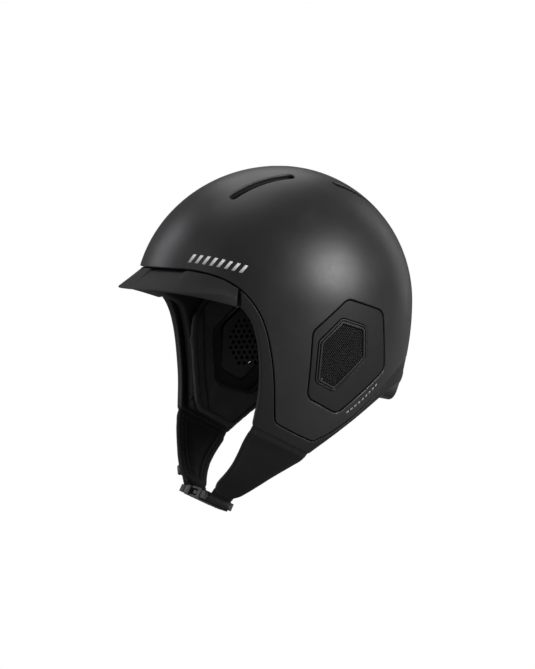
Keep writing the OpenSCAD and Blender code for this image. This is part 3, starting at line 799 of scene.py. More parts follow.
def on_chain(chain, key, val):
    """Index of the chain's first point where key passes val."""
    for i in range(1, len(chain)):
        if (key(chain[i - 1]) - val) * (key(chain[i]) - val) <= 0:
            return i
    return 0


i0 = on_chain(EDGE3, lambda p: p[1], -70.6)
i1 = max(i for i in range(len(EDGE3)) if EDGE3[i, 0] > NX)
groove_part = EDGE3[i0:i1 + 1]
notch_x = NX + 0.25
g_end = EDGE3[i1]
side_down = [rear_pt(notch_x, z) for z in np.linspace(g_end[2], -67.4, 10)]
low_rear = [rear_pt(x, -67.4) for x in (28, 36)]
corner_b = [side(*p) for p in round_poly_open([(1.9, -114.4), (-9.2, -122.0), (-29.4, -111.9)], [3.5])]
seam_part = [side(*p) for p in [(-36, -108.4), (-43.6, -104.6), (-50, -101.2)]]
corner_f = [side(*p) for p in round_poly_open([(-52, -100.1), (-58.9, -96.5), (-57.6, -86)], [3.2])]
open_part = [side(*p) for p in RIM_OPEN[::-1]]
rim_all = smooth_curve(np.array(low_rear + [side(*p) for p in RIM_LOW[::-1][:-1]] + corner_b + seam_part + corner_f + open_part), 1.3)
rim_all = project(rim_all)
split_part = np.array([side(-70.6, z) for z in np.linspace(0.9, groove_part[0][2], 12)])[1:-1]
down = np.array(side_down)
TRIM = np.vstack([groove_part, project(down[1:-1]), rim_all, split_part])
TRIM = resample(TRIM, 1.25, True)
TRIM = project(TRIM)


def trim_fillet(p):
    y, z = p[1], p[2]
    e = np.min(np.linalg.norm(EDGE3 - p, axis=1))
    if e < 3:
        return 0.8
    if abs(y + 70.6) < 0.6 or p[0] < notch_x + 0.6:
        return 0.7
    if z > -95 and y < -50:
        return 2.3
    if y < -9 and z < -97:
        return 1.1
    return 2.2


def smooth_closed(v, n=4):
    for _ in range(n):
        v = (np.roll(v, 1) + 2 * v + np.roll(v, -1)) / 4
    return v


def trim_half(k=10):
    """Half the local width of the trim at each point of its edge."""
    n = len(TRIM)
    far = np.array([[min((i - j) % n, (j - i) % n) > k for j in range(n)] for i in range(n)])
    d = np.linalg.norm(TRIM[:, None] - TRIM[None], axis=2)
    return 0.5 * np.where(far, d, 1e9).min(1)


_tf = smooth_closed(np.array([trim_fillet(p) for p in TRIM]))
_tf = np.minimum(_tf, np.maximum(0.35, trim_half() - 0.5 - 0.2))


def trim_r(p):
    return _tf[int(np.argmin(np.linalg.norm(TRIM - p, axis=1)))]


for tag, mir in (("left", None), ("right", "flip")):
    t = patch("edge_trim_" + tag, TRIM, mid=False, d_out=-0.2, d_in=-7.0, fillet=trim_r, in_fillet=1.2, spacing=2.6, gap=0.5, mats=(M_EDGE,), mirror=mir)
    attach(t, "helmet")
    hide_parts("edge_trim")

# ------------------------------------------------------------------ foam liner
lin_front = [front(x, 13.2) for x in (0, 12, 24, 36)] + [side(-105, 12.6), side(-96, 10.6), side(-86, 7.0), side(-76, 2.4)]
lin_open = [side(y + 6.0, z - 0.4) for y, z in RIM_OPEN[1:]]
lin_cf = [side(*p) for p in round_poly_open([(-51.0, -86), (-52.0, -97.0), (-46, -100.4)], [3.2])]
lin_cb = [side(*p) for p in round_poly_open([(-29.4, -109.8), (-9.2, -119.6), (1.9, -112.4)], [3.5])]
lin_low = [side(y, z + 1.8) for y, z in RIM_LOW[1:]] + [rear_pt(x, -65.6) for x in (36, 28)]
lin_notch = [rear_pt(NX + 0.9, z) for z in (-65.6, -60, -54, -48, -44.5)] + [rear_pt(x, -43.2) for x in (18, 9, 0)]
LINER = smooth_curve(np.array(lin_front + lin_open + lin_cf + lin_cb + lin_low + lin_notch), 1.8)
LINER = project(LINER)
LINER[0, 0] = LINER[-1, 0] = 0
EY = EDGE3[:, 1]


def liner_out(p):
    """The liner's outer face lies just under the shell, and deeper under the trim and the peak."""
    e = np.linalg.norm(EDGE3 - p, axis=1)
    i = int(np.argmin(e))
    j, k = max(0, i - 1), min(len(EDGE3) - 1, i + 1)
    t = EDGE3[k] - EDGE3[j]
    n = grad(p[None])[0]
    inward = np.cross(n, t)
    sgn = np.dot(p - EDGE3[i], inward)
    dist = e[i] * (1 if sgn > 0 else -1)
    dist *= LSGN
    q = min(1, max(0, (dist - 3) / 4))
    q = q * q * (3 - 2 * q)
    return -7.6 + 4.2 * q


_c = EDGE3[len(EDGE3) // 3]
_n = grad(_c[None])[0]
_t = EDGE3[len(EDGE3) // 3 + 1] - EDGE3[len(EDGE3) // 3 - 1]
LSGN = 1 if np.dot(np.array([20, 60, 60]) - _c, np.cross(_n, _t)) > 0 else -1
ear_hole = side_loop(scaled(HEX_IN, (15, -40), 1.16), 6, 2.0)
liner = patch("foam_liner_skin", LINER, holes=[ear_hole] + [slot_loop(v, 3.3) for v in VENTS], notches=[centre_notch(3, 48, CS)], d_out=liner_out, d_in=-15.4,
              fillet=0.8, in_fillet=2.8, spacing=4.0, mats=(M_FOAM,), mirror="weld")
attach(liner, "helmet")
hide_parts("foam_liner")


# ------------------------------------------------------------------ ear covers
def strip(name, loop, prof, mats, mirror=None, base=0.0):
    """A closed ring: the profile (inset, height) swept round a loop on the surface."""
    t, n, m = chain_frame(loop, True, -1 if area2(to_uv(loop)) < 0 else 1)
    prof = np.array(prof, float)
    L, K = len(loop), len(prof)
    V = []
    for s, h in prof:
        q = project(loop + m * s, 0.0)
        V.append(q + grad(q) * (h + base))
    V = np.array(V)
    # profile normals
    pn = np.roll(prof, -1, 0) - np.roll(prof, 1, 0)
    F = []
    for k in range(K):
        k2 = (k + 1) % K
        for i in range(L):
            j = (i + 1) % L
            F.append((k * L + i, k * L + j, k2 * L + j, k2 * L + i))
    v = V.reshape(-1, 3)
    o = new_mesh(name, v * ([-1, 1, 1] if mirror == "flip" else 1), F, None, mats)
    bm = bmesh.new()
    bm.from_mesh(o.data)
    bmesh.ops.recalc_face_normals(bm, faces=bm.faces)
    bm.to_mesh(o.data)
    bm.free()
    return o


def rounded_profile(pts, r, n=3):
    pts = np.array(pts, float)
    out = []
    m = len(pts)
    for i in range(m):
        p, a, b = pts[i], pts[i - 1], pts[(i + 1) % m]
        la, lb = np.linalg.norm(a - p), np.linalg.norm(b - p)
        u, v = (a - p) / la, (b - p) / lb
        q = min(r, la * 0.42, lb * 0.42)
        for k in range(n + 1):
            t = k / n
            out.append((1 - t) ** 2 * (p + u * q) + 2 * t * (1 - t) * p + t * t * (p + v * q))
    return np.array(out)


FRAME_PROF = rounded_profile([(0.5, -2.8), (0.5, -0.6), (0.8, -0.05), (1.75, -0.05), (1.95, -1.5), (2.6, -1.5), (2.8, 0.1), (4.2, 0.1), (4.7, -0.8), (4.7, -2.8)], 0.16)


def tubes(paths, r, sides=6, closed=False):
    """Tubes round polylines. Returns verts and faces, ends capped."""
    V, F = [], []
    for p in paths:
        p = np.asarray(p, float)
        n = len(p)
        if n < 2:
            continue
        t = np.gradient(p, axis=0) if not closed else np.roll(p, -1, 0) - np.roll(p, 1, 0)
        t /= np.maximum(np.linalg.norm(t, axis=1, keepdims=True), 1e-9)
        ref = np.array([1.0, 0, 0]) if abs(t[0][0]) < 0.8 else np.array([0, 0, 1.0])
        u = ref - t * (t @ ref)[:, None]
        bad = np.linalg.norm(u, axis=1) < 1e-3
        u[bad] = np.array([0, 1.0, 0])
        u /= np.linalg.norm(u, axis=1, keepdims=True)
        w = np.cross(t, u)
        k0 = len(V)
        rr = r if np.ndim(r) else np.full(n, r)
        for i in range(n):
            for k in range(sides):
                a = 2 * math.pi * k / sides
                V.append(p[i] + rr[i] * (math.cos(a) * u[i] + math.sin(a) * w[i]))
        for i in range(n if closed else n - 1):
            j = (i + 1) % n
            for k in range(sides):
                k2 = (k + 1) % sides
                F.append((k0 + i * sides + k, k0 + i * sides + k2, k0 + j * sides + k2, k0 + j * sides + k))
        if not closed:
            F.append(tuple(k0 + k for k in range(sides))[::-1])
            F.append(tuple(k0 + (n - 1) * sides + k for k in range(sides)))
    return V, F


def x_wall(y, z, d):
    """Vectorised x of the left wall."""
    zn = np.minimum(z, 0)
    A, BF, BR, C = A0 + d, BF0 + d, BR0 + d, C0 + d
    a = A - 18 * (zn / 130) ** 2
    b = np.where(y < YW, BF - 6 * (zn / 130) ** 2, BR - 24 * (zn / 100) ** 2)
    q = 1 - ((y - YW) / b) ** 2 - (np.maximum(z, 0) / C) ** 2
    return a * np.sqrt(np.maximum(q, 0))


def weave(poly, pitch, depth, amp, r, turn):
    """Crossed threads inside a side-view polygon, laid at an angle to it."""
    c, s = math.cos(turn), math.sin(turn)
    R = np.array([[c, s], [-s, c]])
    rp = poly @ R.T
    lo, hi = rp.min(0), rp.max(0)
    st = pitch / 4
    paths = []
    for way in (0, 1):
        other = 1 - way
        for i in range(math.ceil(lo[way] / pitch), math.floor(hi[way] / pitch) + 1):
            w = np.arange(lo[other], hi[other], st)
            p = np.zeros((len(w), 2))
            p[:, way], p[:, other] = i * pitch, w
            ok = in_poly(p, rp)
            for run in runs(ok):
                q = p[run] @ R
                up = amp * np.cos(math.pi * w[run] / pitch + math.pi * i) * (1 if way == 0 else -1)
                paths.append(np.column_stack([x_wall(q[:, 0], q[:, 1], depth + (0.14 if way == 0 else 0)) + up, q]))
    return tubes(paths, r, 5)


def runs(ok):
    out, cur = [], []
    for i, v in enumerate(ok):
        if v:
            cur.append(i)
        elif cur:
            out.append(cur)
            cur = []
    if cur:
        out.append(cur)
    return [r for r in out if len(r) > 2]


mesh_poly = resample(round_poly(scaled(HEX_IN, (15, -40), 0.83), 3.4), 1.0, True)
WV, WF = weave(mesh_poly, 1.55, -1.8, 0.22, 0.36, math.radians(38))
for tag, mir in (("left", None), ("right", "flip")):
    body = "ear_" + tag
    c = patch("ear_panel_" + tag, OUT_LOOP, holes=[IN_LOOP], mid=False, d_out=-0.55, d_in=-2.9, fillet=0.9, hole_fillet=0.4, gap=0.85, hole_gap=0.05, spacing=2.4,
              in_fillet=0.3, mats=(M_EAR,), mirror=mir)
    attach(c, body)
    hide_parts("ear_cover_" + tag)
    f = strip("ear_bezel_" + tag, IN_LOOP, FRAME_PROF, (M_FRAME,), mir)
    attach(f, body)
    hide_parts("ear_frame_" + tag)
    v = np.array(WV) * ([-1, 1, 1] if mir else 1)
    g = new_mesh("ear_weave_" + tag, v, [q[::-1] for q in WF] if mir else WF, None, (M_WIRE,))
    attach(g, body)
    b = patch("ear_backing_" + tag, side_loop(scaled(HEX_IN, (15, -40), 0.82), 3.4), mid=False, d_out=-2.2, d_in=-3.0, fillet=0.3, in_fillet=0.15, spacing=2.4, mats=(M_BACK,), mirror=mir)
    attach(b, body)
    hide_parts("ear_mesh_" + tag)

# ------------------------------------------------------------------ peak
REACH = 15.5


def peak_section(x):
    q = min(1.0, abs(x) / 78.6)
    y = -110.0
    for _ in range(12):
        z0 = np.interp(y, [-119, -110, -102, -91.5, -81, -71.3, -62.8], [31.5, 31.3, 30.6, 28, 23.6, 16.6, 6.6])
        y = front(x, z0)[1]
    z0 -= 0.7
    k = min(1, max(0, (46 - abs(x)) / 4.5)) * min(1, max(0, (abs(x) - 6.5) / 1.5))
    k = k * k * (3 - 2 * k)
    zc = z0 - 2.1 * k                      # a flat vent slot each side of the middle
    zt = 0.6 + 13.2 * (1 - q ** 3.4)
    a = A0
    h = np.array([x / a ** 2, (y - YW) / BF0 ** 2])
    h /= np.linalg.norm(h)
    s = max(0.0, 1 - q * q)
    p = REACH * s ** 0.85 + 0.15
    yt = front(x, zt)[1]
    xi = x * 0.928
    up = front(xi, zc, -6.2)
    lo = front(xi, zt + 1.2, -6.4)
    P = [np.array([xi, up[1], z0 - 0.3]),
         np.array([x, y - 0.05, zc]),
         np.array([x + h[0] * p * 0.42, (y + yt) / 2 + h[1] * p * 0.42, (zc + zt + 2.0) / 2 + 0.7 * s]),
         np.array([x + h[0] * p, yt + h[1] * p, zt + 1.7 * s ** 0.5 + (z0 - zt) * max(0, q - 0.55) ** 2 * 3.0]),
         np.array([x + h[0] * (p + 0.2), yt + h[1] * (p + 0.2), zt + 0.2]),
         np.array([x + h[0] * p * 0.45, yt + h[1] * p * 0.45, zt + 1.9 * s]),
         np.array([x, yt + 0.4, zt + 2.9 * s]),
         np.array([xi, lo[1], zt + 1.0 + 3.0 * s])]
    return P, [0.8, 0.9, 6.0, 0.8, 0.8, 5.0, 2.0, 1.2]


def round3(P, R, n=5):
    out = []
    m = len(P)
    for i in range(m):
        p, a, b = P[i], P[i - 1], P[(i + 1) % m]
        la, lb = np.linalg.norm(a - p), np.linalg.norm(b - p)
        q = min(R[i], la * 0.46, lb * 0.46)
        u, v = (a - p) / max(la, 1e-9), (b - p) / max(lb, 1e-9)
        for k in range(n + 1):
            t = k / n
            out.append((1 - t) ** 2 * (p + u * q) + 2 * t * (1 - t) * p + t * t * (p + v * q))
    return out


def grid_solid(rings, closed_ring=True):
    """Verts and faces of a tube of equal rings with flat end caps."""
    n, m = len(rings), len(rings[0])
    V = [p for r in rings for p in r]
    F = []
    for i in range(n - 1):
        for k in range(m):
            k2 = (k + 1) % m
            F.append((i * m + k, i * m + k2, (i + 1) * m + k2, (i + 1) * m + k))
    F.append(tuple(range(m))[::-1])
    F.append(tuple((n - 1) * m + k for k in range(m)))
    return V, F


def fix_normals(o):
    bm = bmesh.new()
    bm.from_mesh(o.data)
    bmesh.ops.recalc_face_normals(bm, faces=bm.faces)
    bm.to_mesh(o.data)
    bm.free()
    return o


def x_at_y(y):
    """x of the peak's end, on the shell at the split."""
    return side(y, 12)[0]


XE = side(-71.4, 16.5)[0]
xs = XE * np.sin(np.linspace(-math.pi / 2, math.pi / 2, 141))
xs = np.unique(np.round(np.concatenate([xs, np.linspace(-28, 28, 57)]), 3))
rings = [round3(*peak_section(x)) for x in xs]
v, f = grid_solid(rings)
peak = fix_normals(new_mesh("peak_skin", v, f, None, (M_PEAK,)))
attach(peak, "peak")
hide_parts("peak")

# ------------------------------------------------------------------ chin straps
CT, SN = 0.894427, 0.447214
SHEET = np.array([(77, 118.4), (73.8, 122.8), (70.4, 128), (66.5, 133.8), (62, 140), (57, 146.5), (51, 153), (44, 159.4), (36.5, 165.2), (29, 170), (24.6, 172.4)])
S_FRONT = np.array([(-8.5, 106), (-8.5, 112), (-8.2, 120), (-6.8, 128), (-4.3, 137), (-2.2, 145), (-0.5, 154), (0.8, 162), (3, 169), (4.2, 174)])
S_REAR = np.array([(46, 106), (46, 112), (44.6, 121), (41, 128), (36.6, 137), (33.2, 145), (30.4, 154), (28.4, 162), (27, 169), (26.4, 174)])


def row(x, w, n):
    """Strap frame to the row frame."""
    x, w, n = np.broadcast_arrays(np.asarray(x, float), np.asarray(w, float), np.asarray(n, float))
    return np.stack([x, CT * w - SN * n, -SN * w - CT * n], -1)


def smooth01(t):
    t = np.clip(t, 0, 1)
    return t * t * (3 - 2 * t)


def body_x(w, n, d):
    p = row(0, w, n)
    return x_wall(p[..., 1], p[..., 2], d)


_sheet_n = SHEET[:, 1]


def sheet_x(n):
    """Smooth interpolation of the sheet, by a local cubic."""
    i = np.clip(np.searchsorted(_sheet_n, n) - 1, 0, len(SHEET) - 2)
    s = np.gradient(SHEET[:, 0], SHEET[:, 1])
    x0, x1, h = SHEET[i, 0], SHEET[i + 1, 0], _sheet_n[i + 1] - _sheet_n[i]
    t = (n - _sheet_n[i]) / h
    h00, h10, h01, h11 = 2 * t**3 - 3 * t**2 + 1, t**3 - 2 * t**2 + t, -2 * t**3 + 3 * t**2, t**3 - t**2
    return h00 * x0 + h10 * h * s[i] + h01 * x1 + h11 * h * s[i + 1]


def strap_x(n, w):
    n, w = np.broadcast_arrays(np.asarray(n, float), np.asarray(w, float))
    top = body_x(w, np.minimum(n, 114.0), -0.9) - 0.27 * np.maximum(n - 114.0, 0)
    dx = body_x(w, 113.0, -0.9) - body_x(18.0, 113.0, -0.9)
    low = sheet_x(np.maximum(n, 116.0)) + dx * (1 - smooth01((n - 113) / 50))
    k = smooth01((n - 113.5) / 6.5)
    return top * (1 - k) + low * k


def strap_out(n, w):
    """Outward normal of the strap's outer face in the strap frame, as (x, w, n)."""
    h = 0.2
    dn = (strap_x(n + h, w) - strap_x(n - h, w)) / (2 * h)
    dw = (strap_x(n, w + h) - strap_x(n, w - h)) / (2 * h)
    v = np.stack([np.ones_like(dn), -dw, -dn], -1)
    return v / np.linalg.norm(v, axis=-1, keepdims=True)


def strap_point(n, s, h):
    """Point at s mm from the front edge and height h over the outer face."""
    w = np.interp(n, S_FRONT[:, 1], S_FRONT[:, 0]) + s
    v = strap_out(n, w)
    return row(strap_x(n, w) + v[..., 0] * h, w + v[..., 1] * h, n + v[..., 2] * h)


TH = 5.0


def inner_relief(s, W, n):
    """Piping ridges and a soft middle on the inner face."""
    e = np.minimum(s, W - s)
    top = smooth01((n - 117.5) / 5)
    end = smooth01((168 - n) / 5)
    ridge = 1.0 * np.exp(-((e - 7.6) / 0.95) ** 2) - 0.35 * np.exp(-((e - 9.6) / 0.7) ** 2) - 0.3 * np.exp(-((e - 5.7) / 0.7) ** 2)
    puff = 0.55 * smooth01((e - 9.5) / 6)
    seam = -0.5 * np.exp(-((n - 116.4) / 0.9) ** 2) * smooth01((e - 2) / 2)
    wr = 0.16 * np.sin(n * 0.55 + 0.06 * s) * smooth01((e - 9) / 5) * smooth01((n - 122) / 8)
    return (ridge + puff + wr) * top * end + seam


def outer_relief(s, W, n):
    e = np.minimum(s, W - s)
    soft = 0.12 * np.sin(n * 0.21 + 0.05 * s) * smooth01((e - 3) / 8) * smooth01((n - 122) / 10)
    return 0.15 + soft


def make_strap(tag, mir):
    N0, N1 = 109.3, 171.0
    base = np.concatenate([np.linspace(N0, 113, 5)[:-1], np.linspace(113, 122, 19)[:-1], np.linspace(122, N1 - 2.4, 66)])
    rows = [(n, 1.0, 0.0) for n in base]
    for a in np.linspace(0, math.pi / 2, 7)[1:-1]:
        rows.append((N1 - 2.4 * (1 - math.sin(a)), math.cos(a), 2.4 * (1 - math.cos(a)) * 0.35))
    half = TH / 2
    M = 60
    V, uvk = [], []
    for n, f, ins in rows:
        W = np.interp(n, S_REAR[:, 1], S_REAR[:, 0]) - np.interp(n, S_FRONT[:, 1], S_FRONT[:, 0])
        inner_s = np.linspace(half, W - half, M)
        out = []
        for s in inner_s:                      # outer face, front to rear
            out.append((s, outer_relief(s, W, n)))
        for a in np.linspace(0, math.pi, 9)[1:-1]:
            out.append((W - half + half * math.sin(a), -half + half * math.cos(a)))
        for s in inner_s[::-1]:
            out.append((s, -TH - inner_relief(s, W, n)))
        for a in np.linspace(0, math.pi, 9)[1:-1]:
            out.append((half - half * math.sin(a), -half - half * math.cos(a)))
        out = np.array(out)
        if n > N1 - 7:
            ins = ins + 7 - math.sqrt(max(0.0, 49 - (n - (N1 - 7)) ** 2)) * 1.0 if n < N1 else ins + 7
            ins = min(ins, W * 0.36)
        s = ins + out[:, 0] * (W - 2 * ins) / W
        h = -half + (out[:, 1] + half) * f
        V.append(strap_point(np.full(len(s), n), s, h))
    R, C = len(V), len(V[0])
    F = []
    for i in range(R - 1):
        for k in range(C):
            k2 = (k + 1) % C
            F.append((i * C + k, i * C + k2, (i + 1) * C + k2, (i + 1) * C + k))
    # ends: outer and inner runs stitched across
    for i, flip in ((0, False), (R - 1, True)):
        top = list(range(0, M))
        bot = list(range(M + 7 + M - 1, M + 6, -1))
        rr = list(range(M, M + 7))
        fr = list(range(M + 7 + M, C))
        for a in range(M - 1):
            q = (i * C + top[a], i * C + top[a + 1], i * C + bot[a + 1], i * C + bot[a])
            F.append(q[::-1] if flip else q)
        q = tuple(i * C + v for v in [top[-1]] + rr + [bot[-1]])
        F.append(q[::-1] if flip else q)
        q = tuple(i * C + v for v in [bot[0]] + fr + [top[0]])
        F.append(q[::-1] if flip else q)
    V = np.vstack(V) * ([-1, 1, 1] if mir else 1)
    o = fix_normals(new_mesh("chin_strap_" + tag, V, F, None, (M_STRAP, M_BIND)))
    # bound edge in its own material
    co = np.array([v.co for v in o.data.vertices]) / MM
    n_ = -(SN * co[:, 1] + CT * co[:, 2])
    w_ = CT * co[:, 1] - SN * co[:, 2]
    fr_, re_ = np.interp(n_, S_FRONT[:, 1], S_FRONT[:, 0]), np.interp(n_, S_REAR[:, 1], S_REAR[:, 0])
    e_ = np.minimum(w_ - fr_, re_ - w_)
    for p in o.data.polygons:
        k = e_[list(p.vertices)].mean()
        p.material_index = 1 if k < 5.4 else 0
    # stitches
    runs_ = []
    for n0 in (117.6, 118.9):
        Wd = np.interp(n0, S_REAR[:, 1], S_REAR[:, 0]) - np.interp(n0, S_FRONT[:, 1], S_FRONT[:, 0])
        for s0 in np.arange(3.5, Wd - 5, 3.1):
            ss = np.linspace(s0, s0 + 1.9, 5)
            lift = np.array([-0.15, 0.22, 0.3, 0.22, -0.15])
            runs_.append(strap_point(np.full(5, n0), ss, -TH - inner_relief(ss, Wd, n0) - lift))
    for side_s in (0, 1):
        for face in (1,):
            for n0 in np.arange(121.5, 166, 3.0):
                nn = np.linspace(n0, n0 + 1.9, 5)
                Wd = np.interp(nn, S_REAR[:, 1], S_REAR[:, 0]) - np.interp(nn, S_FRONT[:, 1], S_FRONT[:, 0])
                e0 = 4.4
                ss = np.full(5, e0) if side_s == 0 else Wd - e0
                lift = np.array([-0.15, 0.2, 0.27, 0.2, -0.15])
                h = -TH - inner_relief(ss, Wd, nn) - lift if face else outer_relief(ss, Wd, nn) + lift * 0.8
                runs_.append(strap_point(nn, ss, h))
    sv, sf = tubes(runs_, np.array([0.16, 0.3, 0.33, 0.3, 0.16]), 5)
    sv = np.array(sv) * ([-1, 1, 1] if mir else 1)
    st = fix_normals(new_mesh("strap_stitches_" + tag, sv, sf, None, (M_THREAD,)))
    sx = -1 if mir else 1
    a, b = row(sx * 76.0, 18.0, 113.2) * MM, row(sx * 76.0, 18.0, 122.5) * MM
    for q in (o, st):
        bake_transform(q)
    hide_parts("strap_outer_" + tag, "strap_lining_" + tag, "strap_welt_" + tag)
    return o


make_strap("left", False)
make_strap("right", True)

# ------------------------------------------------------------------ soft pads
from mathutils.bvhtree import BVHTree


def base_of(p, d):
    """The surface point whose normal line passes through p at depth d."""
    p = np.asarray(p, float)
    q = project(p - grad(p) * d)
    for _ in range(4):
        q = project(q + (p - (q + grad(q) * d)))
    return q


def puff(o, pin, cap=1.8, voxel=2.4, pressure=4.0, sub=1):
    """Voxel remesh, then a short pressure cloth simulation on the free faces, then its displacement capped and applied."""
    bpy.context.view_layer.update()
    m = o.modifiers.new("remesh", "REMESH")
    m.mode = "VOXEL"
    m.voxel_size = voxel * MM
    dg = bpy.context.evaluated_depsgraph_get()
    me = bpy.data.meshes.new_from_object(o.evaluated_get(dg))
    mats = list(o.data.materials)
    o.modifiers.clear()
    o.data = me
    me.materials.clear()
    for x in mats:
        me.materials.append(x)
    for v in range(2):
        bm = bmesh.new()
        bm.from_mesh(me)
        bmesh.ops.smooth_vert(bm, verts=bm.verts, factor=0.5, use_axis_x=True, use_axis_y=True, use_axis_z=True)
        bm.to_mesh(me)
        bm.free()
    rest = np.array([v.co for v in me.vertices])
    vg = o.vertex_groups.new(name="pin")
    wt = pin(rest / MM)
    for i, w in enumerate(wt):
        if w > 0:
            vg.add([i], float(w), "REPLACE")
    c = o.modifiers.new("cloth", "CLOTH")
    s = c.settings
    s.quality = 4
    s.mass = 0.25
    s.tension_stiffness = s.compression_stiffness = 12
    s.shear_stiffness = 6
    s.bending_stiffness = 0.4
    s.use_pressure = True
    s.uniform_pressure_force = pressure
    s.effector_weights.gravity = 0
    s.vertex_group_mass = "pin"
    s.pin_stiffness = 4
    c.collision_settings.use_collision = False
    c.point_cache.frame_start, c.point_cache.frame_end = 1, 20
    sc = bpy.context.scene
    for f in range(1, 21):
        sc.frame_set(f)
    dg = bpy.context.evaluated_depsgraph_get()
    ev = o.evaluated_get(dg)
    got = np.array([v.co for v in ev.data.vertices])
    o.modifiers.clear()
    o.vertex_groups.clear()
    sc.frame_set(1)
    if len(got) != len(rest) or not np.isfinite(got).all():
        got = rest
    d = got - rest
    l = np.linalg.norm(d, axis=1, keepdims=True)
    d *= np.minimum(1, cap * MM / np.maximum(l, 1e-9))
    out = rest + d
    me.vertices.foreach_set("co", out.ravel())
    me.update()
    print("CLOTH", o.name, len(rest), "points, free moved mm mean %.2f max %.2f" % (float(np.linalg.norm(d, axis=1)[wt < 0.5].mean() / MM), float(np.linalg.norm(d, axis=1).max() / MM)))
    me.polygons.foreach_set("use_smooth", [True] * len(me.polygons))
    sm = o.modifiers.new("subdivision", "SUBSURF")
    sm.levels = sm.render_levels = sub
    return o


def depth_of(p):
    """Signed depth under the body surface, by one Newton step."""
    q = project(p)
    return np.einsum("ij,ij->i", p - q, grad(q))


def pin_foam(level):
    return lambda p: np.clip((depth_of(p) - level) / 0.8, 0, 1)


def bvh(o):
    dg = bpy.context.evaluated_depsgraph_get()
    me = o.evaluated_get(dg).to_mesh()
    t = BVHTree.FromPolygons([v.co[:] for v in me.vertices], [list(p.vertices) for p in me.polygons])
    o.evaluated_get(dg).to_mesh_clear()
    return t


def lay_on(path, tree, lift):
    """Moves points to the nearest place on the mesh, plus lift along its normal."""
    out = []
    for p in path:
        co, nrm, i, d = tree.find_nearest(Vector(p) * MM)
        out.append(np.array(co + nrm * lift * MM) / MM)
    return np.array(out)


def inset_loop(loop, s, depth, closed=True):
    sgn = -1 if area2(to_uv(loop)) < 0 else 1
    t, n, m = chain_frame(loop, closed, sgn)
    q = project(loop + m * s)
    return q + grad(q) * depth


def dress(pad, loops, body, mir=False, pitch=3.2):
    """Piping along each loop, laid on the finished pad."""
    bpy.context.view_layer.update()
    tree = bvh(pad)
    sx = np.array([-1, 1, 1]) if mir else np.array([1, 1, 1])
    pip, stz = [], []
    for loop, closed in loops:
        q = resample(lay_on(loop * sx, tree, 0.25), 1.2, closed)
        pip.append((q, closed))
    for q, closed in pip:
        pv, pf = tubes([q], 0.75, 8, closed)
        o = fix_normals(new_mesh(pad.name + "_piping_%d" % len(stz), pv, pf, None, (M_BIND,)))
        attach(o, body)
        stz.append(o)
    return stz


def pad_piece(name, loop, body, node, d_out=-15.9, d_in=-20.6, mid=False, holes=(), notches=(), mirror=None, cap=1.8, pipe=3.0, cad=True, crown=None, fil=1.2):
    o = patch(name, loop, holes=holes, notches=notches, mid=mid, d_out=d_out, d_in=d_in, fillet=fil, in_fillet=1.9, spacing=3.4, mats=(M_PAD,), mirror=mirror)
    merge_doubles(o, 2e-6)
    puff(o, pin_foam(d_out - 1.6), cap)
    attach(o, body)
    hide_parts(node)
    return o


CHEEK = [(-47.6, -34), (-47.0, -88), (-44, -97.6), (-14, -113.6), (-9.5, -114.6), (-4, -112), (22, -95), (38, -85.6), (42, -80), (43, -30), (36, -4), (20, 6), (-30, 2), (-45, -16)]
HEX_PAD = [(12.2, -1), (46, -8), (48, -46), (12, -84), (-22, -74), (-22, -31)]


def side_base(poly, r, depth, step=1.6):
    p = resample(round_poly(poly, r), step, True)
    return base_of(np.array([side(y, z, depth) for y, z in p]), depth)


cheek_loop = side_base([q for q in CHEEK], 2.0, -18.5)
cheek_hole = side_base(HEX_PAD, 7, -18.5)
CREASE = [(-34, -8), (-35.5, -40), (-36, -70), (-34, -98)]
temple_loop = side_base([(-46, 10.5), (58, 10.5), (52, 41.5), (-40, 41.5)], 7, -18.5)
brow_pts = np.array([front(x, z, -18) for x, z in [(0, 16), (20, 16), (38, 16), (50, 17), (56.5, 22), (57.5, 28), (55, 35), (46, 39.5), (30, 40), (14, 40), (0, 40)]])
brow_loop = base_of(smooth_curve(brow_pts, 1.8), -18)
rear_pts = np.array([front(x, z, -18, True) for x, z in [(0, 26), (18, 26), (36, 25), (44, 20), (45.5, 8), (45, -8), (42, -19), (30, -22), (12, -22), (0, -22)]])
rear_loop = base_of(smooth_curve(rear_pts, 1.8), -18)


def crown_in(x, y, d):
    b = (BF0 if y < YW else BR0) + d
    return np.array([x, y, (C0 + d) * math.sqrt(1 - (x / (A0 + d)) ** 2 - ((y - YW) / b) ** 2)])


crown_pts = np.array([crown_in(x, y, -18) for x, y in [(0, -62), (12, -61), (19, -56), (22, -44), (22, -10), (22, 30), (21.5, 58), (17, 70), (8, 73.5), (0, 74)]])
crown_loop = base_of(smooth_curve(crown_pts, 1.8), -18)
for L in (brow_loop, rear_loop, crown_loop):
    L[0, 0] = L[-1, 0] = 0

for tag, mir in (("left", False), ("right", True)):
    fl = "flip" if mir else None
    c = pad_piece("cheek_cushion_" + tag, cheek_loop, "helmet", "cheek_pad_" + tag, holes=[cheek_hole], mirror=fl, d_in=-21.4, cap=1.6)
    ring_out = inset_loop(cheek_loop, 4.0, -21.5)
    ring_in = inset_loop(cheek_hole, -3.0, -21.5)
    crease = smooth_curve(base_of(np.array([side(y, z, -21) for y, z in CREASE]), -21), 1.5)
    crease = crease + grad(crease) * -21.5
    dress(c, [(ring_out, True), (ring_in, True), (crease, False)], "helmet", mir)
    t = pad_piece("temple_cushion_" + tag, temple_loop, "helmet", "temple_pad_" + tag, mirror=fl)
    dress(t, [(inset_loop(temple_loop, 3.0, -20.6), True)], "helmet", mir)


def both(chain):
    """A half chain from the mid-plane and its mirror image, as one closed loop."""
    m = chain[::-1] * [-1, 1, 1]
    return np.vstack([chain, m[1:-1]])


